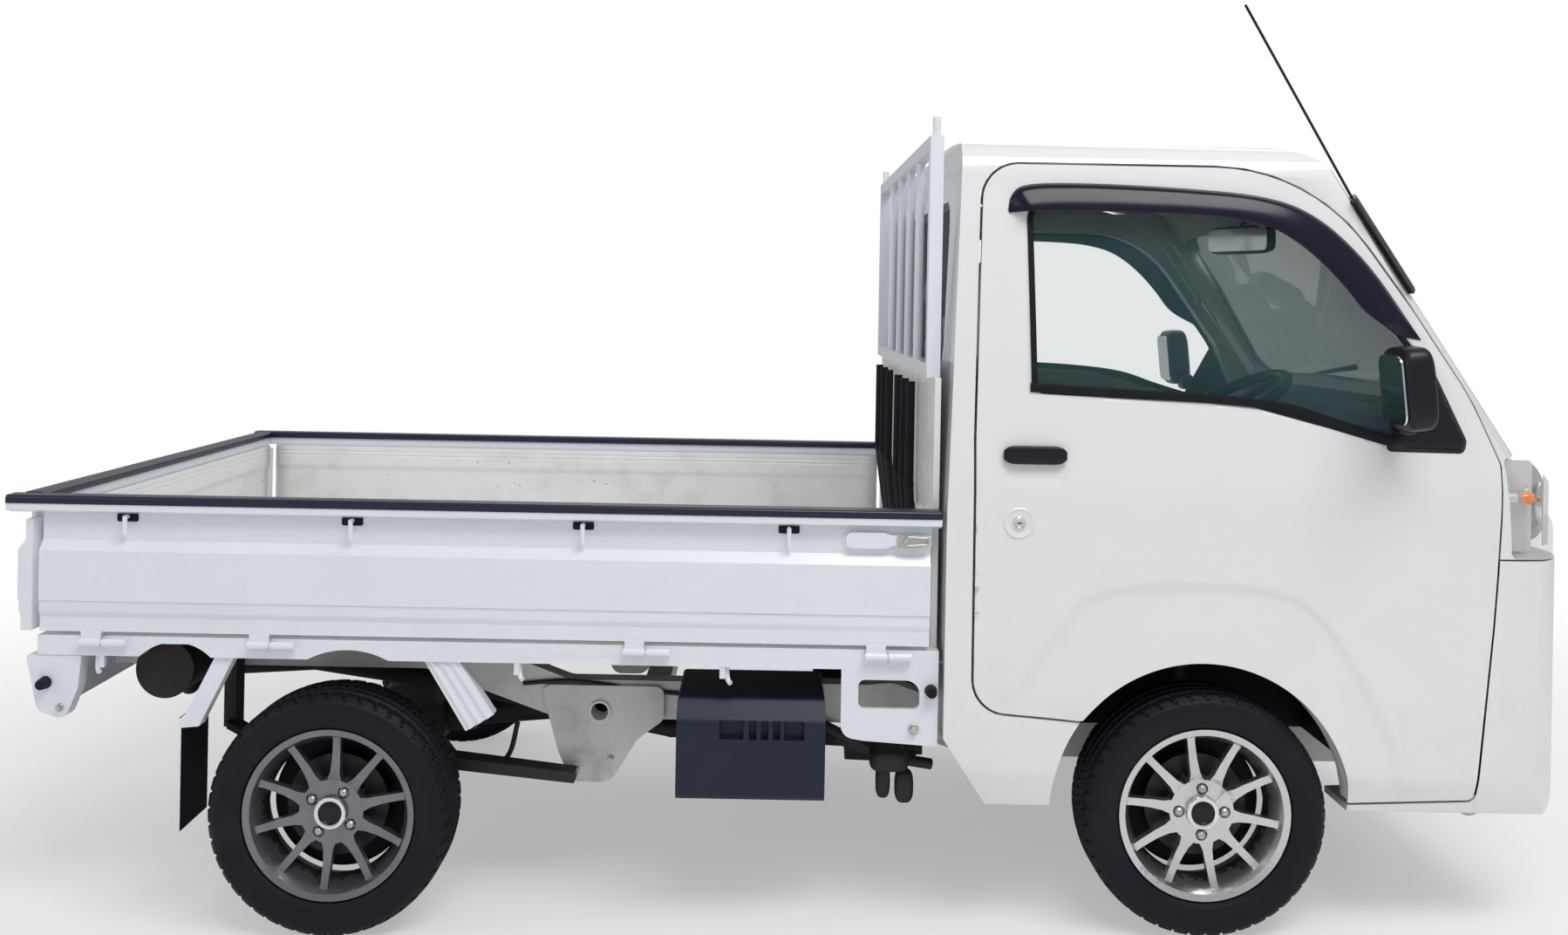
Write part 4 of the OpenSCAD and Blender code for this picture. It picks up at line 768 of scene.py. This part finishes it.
def doorLift(flat, outline):
    # height over the cab side: swells toward the flare line, steps in across it, then flares out to the arch
    arch = np.concatenate([curve(doorSkin["flare"], 160), [(880, 200)]])
    depth = edgeDistance(flat, arch) * np.where(inside(flat, arch), 1, -1)
    rise, drop = np.exp(-(depth / doorSkin["reach"]) ** 2), 1 - smoothStep(depth / doorSkin["flareStep"])
    lift = doorSkin["swell"] * np.where(depth < 0, rise, drop) * smoothStep(
        edgeDistance(flat, outline) / doorSkin["edgeFade"])
    lift = lift + doorSkin["lip"] * smoothStep((depth - doorSkin["lipFrom"]) / doorSkin["lipReach"])
    grip = roundedLine(doorSkin["grip"], 6)
    sunk = edgeDistance(flat, grip) * np.where(inside(flat, grip), 1, -1)
    return doorSkin["lift"] + lift - doorSkin["gripDepth"] * smoothStep(sunk / doorSkin["gripWall"] + 0.4)


def doorSheet(side):
    # triangles over the door's outline less its window, and a narrow return along the outer edge
    outline = doorOutline()
    flat, faces = fillSheet(outline, [roundedLine(cabShape["window"], 10)], doorSkin["step"])
    edge = edgeLoop(outline, doorSkin["step"])
    line = np.concatenate([flat, edge, edge])
    lift = np.concatenate([doorLift(flat, outline), doorLift(edge, outline), np.full(len(edge), -0.5)])
    k, n = np.arange(len(edge)), len(edge)
    rim = np.stack([k, (k + 1) % n, n + (k + 1) % n, n + k], -1) + len(flat)
    return onSide(line, lift, side), [f if side < 0 else f[::-1] for f in faces.tolist() + rim.tolist()]


visor = {"top": [(442, 1590), (450, 1622), (482, 1644), (587, 1650), (760, 1646), (915, 1637), (1000, 1627),
                 (1068, 1609), (1128, 1577), (1181, 1533), (1230, 1480), (1272, 1423), (1340, 1319)],
         "foot": [(444, 1582), (470, 1584), (520, 1586), (610, 1587), (760, 1586), (880, 1582), (950, 1574),
                  (1015, 1556), (1070, 1524), (1122, 1480), (1170, 1428), (1215, 1374), (1290, 1326)],
         "reach": 26.0}
beltLine = [(490, 1202), (700, 1192), (903, 1183), (1054, 1166), (1166, 1131), (1255, 1105), (1300, 1096),
            (1415, 1092)]
flatBar = lambda w, h: roundedBox((-w / 2, -h / 2), (w / 2, h / 2), h * 0.4, 3)


def visorSheet(side):
    # lines from the upper to the lower edge; the sheet swells away from the door toward its lower edge
    u, v = 90, 14
    top, foot = curve(visor["top"], u), curve(visor["foot"], u)
    w = np.linspace(0, 1, v)[None, :, None]
    flat = (top[:, None] * (1 - w) + foot[:, None] * w).reshape(-1, 2)
    along = np.repeat(np.linspace(0, 1, u), v)
    out = np.tile(np.linspace(0, 1, v), u)
    ends = smoothStep(along / 0.05) * smoothStep((1 - along) / 0.07)
    lift = 3.5 + visor["reach"] * (0.35 * smoothStep(out * 6) + 0.65 * np.sin(out * np.pi / 2) ** 1.3) * ends
    faces = gridFaces(u, v)
    return onSide(flat, lift, side), faces if side > 0 else faces[:, ::-1]


def turned(part, centre, angle, axis="z"):
    # a part turned about an axis through a centre
    p = np.asarray(part[0], float) - centre
    c, s = math.cos(math.radians(angle)), math.sin(math.radians(angle))
    k = {"z": (0, 1), "y": (2, 0), "x": (1, 2)}[axis]
    q = p.copy()
    q[:, k[0]], q[:, k[1]] = c * p[:, k[0]] - s * p[:, k[1]], s * p[:, k[0]] + c * p[:, k[1]]
    return (q + centre, *part[1:])


def mirrorParts(side):
    # a squarish rounded shell on a stubby arm, the glass set into its rear face
    shell = turned(softBox((1228, 752, 1132), (1298, 882, 1308), 4.5, 40, 26), (1262, 815, 1220), -6, "y")
    arm = softBox((1262, 722, 1118), (1300, 790, 1168), 4.0)
    glass = turned(slab(roundedBox((764, 1148), (870, 1292), 22, 6),
                        1225.5, 1229.5, "x"), (1262, 815, 1220), -6, "y")
    return [(p * np.array([1, side, 1]), f, m) for (p, f), m in ((shell, 0), (arm, 0), (glass, 1))]


for name, side in bothSides:
    body = "door_" + name
    makePiece("doorSkin_" + name, [doorSheet(side)], body, bodyPaint, smooth=40, thick=0.8, closed=False)
    makePiece("windowVisor_" + name, [visorSheet(side)], body, visorPlastic, smooth=60, thick=2.0,
              closed=False)
    window = resample(roundedLine(cabShape["window"], 10), 260, True)
    window = window + (window.mean(0) - window) / np.linalg.norm(window.mean(0) - window, axis=1)[:, None] * 6
    seal = sweep(onSide(window, 1.5, side), flatBar(13, 5), (0, side, 0), closedPath=True)
    moulding = sweep(onSide(curve(beltLine, 90), 3.5, side), flatBar(20, 7), (0, side, 0))
    makePiece("windowSeals_" + name, [seal, moulding], body, rubber, smooth=50)
    plate = roundedLine([(1252, 1078, 10), (1426, 1076, 14), (1432, 1104, 12), (1362, 1262, 14),
                         (1344, 1262, 10)], 6)
    flat, faces = fillSheet(plate, [], 14.0)
    corner = onSide(flat, 2 + 7 * smoothStep(edgeDistance(flat, plate) / 14), side)
    cornerPlate = makePiece("mirrorPlate_" + name, [(corner, faces if side < 0 else faces[:, ::-1])], body,
                            blackPlastic, smooth=40, thick=3.0, closed=False)
    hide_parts("door_fittings_" + name)
    makePiece("mirror_" + name, mirrorParts(side), body, [blackPlastic, mirrorGlass], smooth=40)
    path = onSide(resample([(431, 1057), (567, 1057)], 30), 9, side)
    bow = 1 - 0.55 * np.abs(np.linspace(-1, 1, 30)) ** 8
    section = roundedLine([(-20, -6, 5), (20, -6, 5), (20, 6, 6), (-20, 6, 6)], 5)
    grip = sweep(path, section, (0, side, 0), scale=bow)
    makePiece("doorGrip_" + name, [grip], body, blackPlastic, smooth=50)
    keyX, keyZ = doorSkin["key"]
    keyY = side * float(sideY(keyX, keyZ) + doorSkin["lift"])
    lock = (keyX, keyY, keyZ)
    collar = lathe([(13, 0), (33, 0), (33.5, 1.6), (31, 3.2), (28.5, 2.4), (26.5, 1.35), (15, 1.35),
                    (13, 1.35)], lock, "y", 48, True, side)
    barrel = lathe([(0, 0), (14, 0), (14, 4.6), (12.5, 5.4), (9.5, 5.0), (9, 4), (0, 4)], lock,
                   "y", 32, False, side)
    slot = slab(roundedBox((keyX - 5, keyZ - 1.4), (keyX + 5, keyZ + 1.4), 1, 3),
                abs(keyY) + 3.5, abs(keyY) + 4.6, "y", side)
    makePiece("doorLock_" + name, [(*collar, 0), (*barrel, 1), (*slot, 2)], body,
              [bodyPaint, chrome, blackPlastic])
print("doors made")

# Faces that point inwards take trim in place of paint, and faces under the bed take near-black painted shade
# with road film, up to these borders
border = {"trimFoot": 640, "flapBehindHub": 323.5, "bedSide": 678, "bedUnder": 612}


def towardInside(c, n):
    # faces on either side of the truck that look toward its middle
    return n[:, 1] * np.sign(c[:, 1]) < -0.5


extraLooks = {
    "cab_sides": ([trimPlastic, rubber],
                  lambda c, n: towardInside(c, n) * np.where(c[:, 2] < border["trimFoot"], 2, 1)),
    "cab_roof": ([linerCloth], lambda c, n: n[:, 2] < -0.3),
    "cab_back": ([trimPlastic], lambda c, n: n[:, 0] > 0.5),
    "front_panel": ([trimPlastic], lambda c, n: (n[:, 0] < -0.3) | towardInside(c, n)),
    "front_bumper": ([rubber], lambda c, n: (n[:, 0] < -0.3) | towardInside(c, n)),
    "door_right": ([trimPlastic], towardInside),
    "door_left": ([trimPlastic], towardInside),
    "mudguards": ([rubber], lambda c, n: c[:, 0] < stance["rearHub"][0] - border["flapBehindHub"]),
    # the bed's underside and its faces below bedUnder take near-black painted shade; the outer sides take gate
    # paint
    "bed_floor": ([underPaint, gatePaint], lambda c, n: np.where(
        np.abs(c[:, 1]) > border["bedSide"], 2, (n[:, 2] < -0.5) | (c[:, 2] < border["bedUnder"]))),
}
for node, (mats, rule) in extraLooks.items():
    dress(shells[node].data, mats)
    faceSlots(shells[node], rule)

# Cab inside: looking glass, grab handles, sun visors
glassCentre = (1190, 0, 1566)
glassBox = turned(softBox((1176, -118, 1528), (1204, 118, 1604), 5.0, 36, 20), glassCentre, 24)
glassFace = turned(slab(roundedBox((-108, 1536), (108, 1596), 14, 5), 1174.4, 1177.5, "x"), glassCentre, 24)
stalk = tube(curve([(1190, 0, 1600), (1202, 0, 1620), (1208, 0, 1640)], 14), 7)
makePiece("insideMirror", [(*glassBox, 0), (*glassFace, 1), (*stalk, 0)], "chassis",
          [blackPlastic, mirrorGlass], 45)
grabs, shades = [], []
for side in (-1, 1):
    line = [(1176, 618, 1560), (1178, 590, 1538), (1196, 580, 1510), (1230, 584, 1462), (1262, 592, 1420),
            (1278, 626, 1404)]
    grabs.append(tube(curve(np.array(line) * [1, side, 1], 40), 9))
    shade = softBox((1020, side * 300 - 190, 1664), (1180, side * 300 + 190, 1680), 6.0, 36, 14)
    shades.append(turned(shade, (1100, 0, 1672), 14, "y"))
makePiece("grabHandles", grabs, "chassis", trimPlastic, 50)
makePiece("sunVisors", shades, "chassis", linerCloth, 50)
print("cab inside made")

# Headlamp insides: housing wall, turned reflector, bulbs
for name, side in bothSides:
    wall = roundedLine([(1534, 858, 10), (1606, 858, 10), (1606, 1058, 10), (1530, 1058, 10)], 4)
    housing = slab(wall, 664, 668, "y", side)
    front = slab(roundedBox((side * 478, 858), (side * 664, 1052), 8, 4), 1588, 1592, "x")
    lampCentre = (1616, side * 572, 958)
    bowl = lathe([(5, -30), (26, -25), (52, -11), (74, 8), (88, 28), (90, 28), (76, 6), (54, -13), (27, -28),
                  (5, -33)], lampCentre, "x", 56)
    bulb = lathe([(0, -28), (9, -28), (9, 2), (7, 12), (0, 16)], lampCentre, "x", 24, False)
    turn = lathe([(0, -20), (8, -20), (14, -8), (15, 3), (10, 12), (0, 15)], (1584, side * 688, 978), "x", 28,
                 False)
    socket = lathe([(0, -46), (11, -46), (11, -20), (0, -20)], (1580, side * 688, 978), "x", 24, False)
    ribs = []
    for k in range(4):
        x, y = 1626 + 7 * k, side * (676 - 7 * k)
        ribs.append(softBox((x, y - 2, 872), (x + 3, y + 2, 1030 - 5 * k), 6.0, 12, 8))
    parts = [(*housing, 0), (*front, 0), (*bowl, 1), (*bulb, 2), (*turn, 3), (*socket, 0)]
    makePiece("lampInside_" + name, parts + [(*r, 2) for r in ribs], "chassis",
              [lampSilver, chrome, clearGlass, amberGlass], 45)
print("headlamps made")


# Small fittings under the bed: bolts, hole rims, ribs on the stays, lamp lenses, hoses, blank plates
def boltParts(x, y, z, side, size):
    # a washer, a six-sided head and a chamfer, facing out of the side
    centre = (x, side * y, z)
    washer = [(0, 0), (size * 1.5, 0), (size * 1.5, 2), (size * 1.3, 3), (0, 3)]
    head = [(0, 3), (size, 3), (size, 9), (size * 0.85, 11), (0, 11)]
    return [lathe(line, centre, "y", count, False, side) for line, count in ((washer, 32), (head, 6))]


under = {"stayTop": ((200, 584), (276, 584)), "stayFoot": ((293, 432), (354, 469)), "ribs": (0.2, 0.5, 0.8)}
for name, side in bothSides:
    bolts = []
    for x, y, z, size in ((-509, 472, 275, 9), (250, 715, 457, 8), (-430, 472, 300, 5), (-1600, 713, 470, 6)):
        bolts += boltParts(x, y, z, side, size)
    makePiece("sideBolts_" + name, bolts, "chassis", zincMetal, 30)
    rim = lathe([(20, 0), (27, 0), (27, 3), (24, 5), (20, 4)], (-458, side * 472, 410), "y", 48, True, side)
    ribs = []
    for f in under["ribs"]:
        a, b = (np.array(under[k][0]) * (1 - f) + np.array(under[k][1]) * f for k in ("stayTop", "stayFoot"))
        path = resample([a, b], 24)
        path = np.stack([stance["rearHub"][0] + path[:, 0], np.full(24, side * 707.0), path[:, 1]], -1)
        ribs.append(sweep(path, ring(6.5, 10, 0.55), (0, side, 0)))
    makePiece("stayRibs_" + name, [rim] + ribs, "chassis", gatePaint, 40)
    lenses = []
    for k in range(3):
        y = side * (562 + 42 * k)
        lenses.append((*softBox((-1656, y - 20, 489), (-1641, y + 20, 569), 7.0, 36, 20), k))
    makePiece("tailLenses_" + name, lenses, "chassis", [clearGlass, amberGlass, redGlass], 40)
hose = tube(curve([(-830, -440, 330), (-775, -452, 275), (-715, -456, 262), (-672, -452, 300),
                   (-655, -440, 372)], 40), 6)
cable = tube(curve([(-640, -464, 470), (-520, -466, 478), (-380, -466, 462), (-270, -464, 452)], 50), 5)
bracket = [softBox((172, -548, 300), (262, -470, 352), 4.0), softBox((188, -520, 232), (222, -486, 310), 3.0),
           softBox((232, -524, 222), (276, -484, 300), 3.0)]
pipes = [tube(curve([(60, -480, 392), (150, -486, 352), (230, -490, 322), (320, -470, 300)], 30), 13),
         tube(curve([(100, -440, 352), (170, -452, 330), (300, -452, 332)], 24), 16)]
makePiece("underFittings", [hose, cable] + bracket + pipes, "chassis", darkMetal, 40)
for name, side in bothSides:
    bend = [(0, 699, 590), (0, 703, 566), (3, 708, 553), (8, 714, 549)]
    pegs = [tube(curve([(x + dx, side * y, z) for dx, y, z in bend], 16), 5.5) for x in (-1524, -607, -156)]
    makePiece("ropeHooks_" + name, pegs, "chassis", gatePaint, 50)
    plate = roundedLine([(206, 850, 6), (262, 852, 6), (262, 880, 6), (206, 878, 6)], 4)
    plate = slab(plate, 724, 728, "y", side)
    loop = resample(roundedLine([(226, 856, 5), (274, 859, 5), (274, 873, 5), (226, 875, 5)], 5), 60, True)
    loop = np.stack([loop[:, 0], np.full(60, side * 731.0), loop[:, 1]], -1)
    loop = sweep(loop, ring(3.2, 10), (0, side, 0), closedPath=True)
    pivot = lathe([(0, 0), (6, 0), (6, 4), (4, 6), (0, 6)], (226, side * 729, 865), "y", 24, False, side)
    # near-black slabs behind the rope hooks are painted shade for the dark inside of the hook slots
    slots = [slab(roundedBox((x - 23, 875), (x + 23, 893), 4, 3), 709, 711.5, "y", side)
             for x in (-1461, -974, -473, -27)]
    makePiece("hookSlots_" + name, slots, "gate_" + name, rubber, 40)
    makePiece("latchHook_" + name, [plate, loop, pivot], "gate_" + name, zincMetal, 40)
towHook = curve([(1470, -606, 306), (1484, -608, 278), (1506, -610, 262), (1530, -610, 272),
                 (1536, -608, 306)], 30)
makePiece("towHook", [tube(towHook, 8)], "chassis", zincMetal, 50)
plates = []
for x, z in ((1687, 640), (-1648, 530)):
    plates.append(slab(roundedBox((-165, z - 50), (165, z + 50), 10, 5), x - 1.5, x + 1.5, "x"))
makePiece("blankPlates", plates, "chassis", platePaint, 30)
print("fittings made")


# Pressed inner faces of the gates: a flat field between raised bands, over the CAD panels
gateSheet = {"x": (-1640, 276), "z": (640, 890), "bands": ((672, 690), (812, 832)), "lift": 6.0,
             "lines": (862, 874), "sideFace": 695, "tailFace": -1662, "tailHalf": 672}


def pressedSheet(axisLine, heights, place):
    # heights along a section are swept straight along the gate; bands stand off the panel, thin lines sink
    s, z = np.meshgrid(axisLine, heights, indexing="ij")
    low, high = (smoothStep((z - a) / (b - a)) for a, b in gateSheet["bands"])
    lift = 0.8 + gateSheet["lift"] * (1 - low + high)
    for line in gateSheet["lines"]:
        lift = lift - 1.6 * np.exp(-((z - line) / 1.8) ** 2)
    return place(s, z, lift).reshape(-1, 3), gridFaces(*s.shape)


rows = np.unique(np.concatenate([np.linspace(*gateSheet["z"], 60), np.linspace(858, 878, 24)]))
for name, side in bothSides:
    p, f = pressedSheet(np.linspace(*gateSheet["x"], 40), rows,
                        lambda s, z, h: np.stack([s, side * (gateSheet["sideFace"] - h), z], -1))
    makePiece("gateInner_" + name, [(p, f if side > 0 else f[:, ::-1])], "gate_" + name, bedPaint, 25,
              thick=0.6, closed=False)
p, f = pressedSheet(np.linspace(-gateSheet["tailHalf"], gateSheet["tailHalf"], 30), rows,
                    lambda s, z, h: np.stack([gateSheet["tailFace"] + h, s, z], -1))
makePiece("gateInner_tail", [(p, f)], "gate_tail", bedPaint, 25, thick=0.6, closed=False)
print("gate insides made")

# Seats: each pad swells under pressure, then gets its sewn channels; the other side is its mirror image
seat = {"y": 330.0, "voxel": 0.006, "pressure": 4.0, "cap": 0.014, "frames": 20, "dent": 0.007,
        "dentWidth": 9.0, "rows": 36, "around": 72,
        "pads": {
            "seatCushion": ([(498, 726, 30), (916, 704, 40), (936, 786, 40), (514, 764, 30)], 214, "z",
                            (-105, 0, 105)),
            "seatBack": ([(440, 792, 26), (524, 796, 36), (464, 1312, 30), (402, 1312, 24)], 212, "x",
                         (-95, 0, 95)),
            "headRest": ([(400, 1338, 16), (462, 1338, 16), (450, 1484, 24), (394, 1484, 24)], 104, "x", ())}}


def padShape(outline, half):
    # a crowned form: the outline shrinks toward both ends by a root curve, and the ends pull in at mid-side
    m, n = seat["rows"], seat["around"]
    line = resample(roundedLine(outline, 8), n, True)
    middle = line.mean(0)
    across = np.sin(np.linspace(-np.pi / 2, np.pi / 2, m))
    size = 0.45 + 0.55 * (1 - np.abs(across) ** 5) ** 0.4
    flat = middle + (line - middle)[None] * size[:, None, None]
    reach = np.linalg.norm(line - middle, axis=1)
    pull = 1 - 0.06 * (1 - (reach / reach.max()) ** 2)
    grid = np.stack([flat[..., 0], seat["y"] + half * across[:, None] * pull[None], flat[..., 1]], -1)
    ends = [list(range(n))[::-1], list(range((m - 1) * n, m * n))]
    return grid.reshape(-1, 3), gridFaces(m, n, False, True).tolist() + ends


def swell(piece):
    # voxel remesh, then cloth under pressure without gravity; no point moves further than the cap
    scene = bpy.context.scene
    remesh = piece.modifiers.new("even", "REMESH")
    remesh.mode, remesh.voxel_size = "VOXEL", seat["voxel"]
    mesh = bpy.data.meshes.new_from_object(piece.evaluated_get(bpy.context.evaluated_depsgraph_get()))
    piece.modifiers.clear()
    piece.data = mesh
    start = vectors(mesh.vertices, "co")
    cloth = piece.modifiers.new("swell", "CLOTH")
    cloth.settings.use_pressure, cloth.settings.uniform_pressure_force = True, seat["pressure"]
    cloth.settings.effector_weights.gravity = 0.0
    cloth.settings.quality = 4
    for step in range(1, seat["frames"] + 1):
        scene.frame_set(step)
    end = piece.evaluated_get(bpy.context.evaluated_depsgraph_get()).data
    move = vectors(end.vertices, "co") - start
    piece.modifiers.clear()
    far = np.linalg.norm(move, axis=1)[:, None]
    move = move * np.minimum(1, seat["cap"] / np.maximum(far, 1e-9))
    mesh.vertices.foreach_set("co", (start + move).ravel())
    scene.frame_set(1)


def channels(mesh, axis, lines):
    # sewn lines pull the cover in along the pad's outer face
    co, normal = vectors(mesh.vertices, "co"), vectors(mesh.vertex_normals, "vector")
    facing = np.clip(normal[:, {"x": 0, "z": 2}[axis]], 0, 1) ** 2
    for line in lines:
        off = (co[:, 1] * 1000 - seat["y"] - line) / seat["dentWidth"]
        dent = seat["dent"] * np.exp(-off ** 2) * facing
        co = co - normal * dent[:, None]
    mesh.vertices.foreach_set("co", co.ravel())
    mesh.update()


for name, (outline, half, axis, lines) in seat["pads"].items():
    pad = makePiece(name + "_left", [padShape(outline, half)], "chassis", seatCloth, 60)
    swell(pad)
    channels(pad.data, axis, lines)
    twin = pad.data.copy()
    twin.vertices.foreach_set("co", (vectors(twin.vertices, "co") * [1, -1, 1]).ravel())
    twin.flip_normals()
    other = addObject(name + "_right", twin)
    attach(other, "chassis")
    for made in (pad, other):
        made.data.polygons.foreach_set("use_smooth", np.ones(len(made.data.polygons), bool))
        made.data.update()
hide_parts("seats")
frames = []
for side in (-1, 1):
    middle = side * seat["y"]
    frames.append(softBox((515, middle - 185, 664), (890, middle + 185, 728), 8.0, 36, 16))
    frames += [tube(np.array([(436, middle + d, 1290), (431, middle + d, 1350)]), 6) for d in (-45, 45)]
makePiece("seatFrames", frames, "chassis", trimPlastic, 40)
print("seats made")
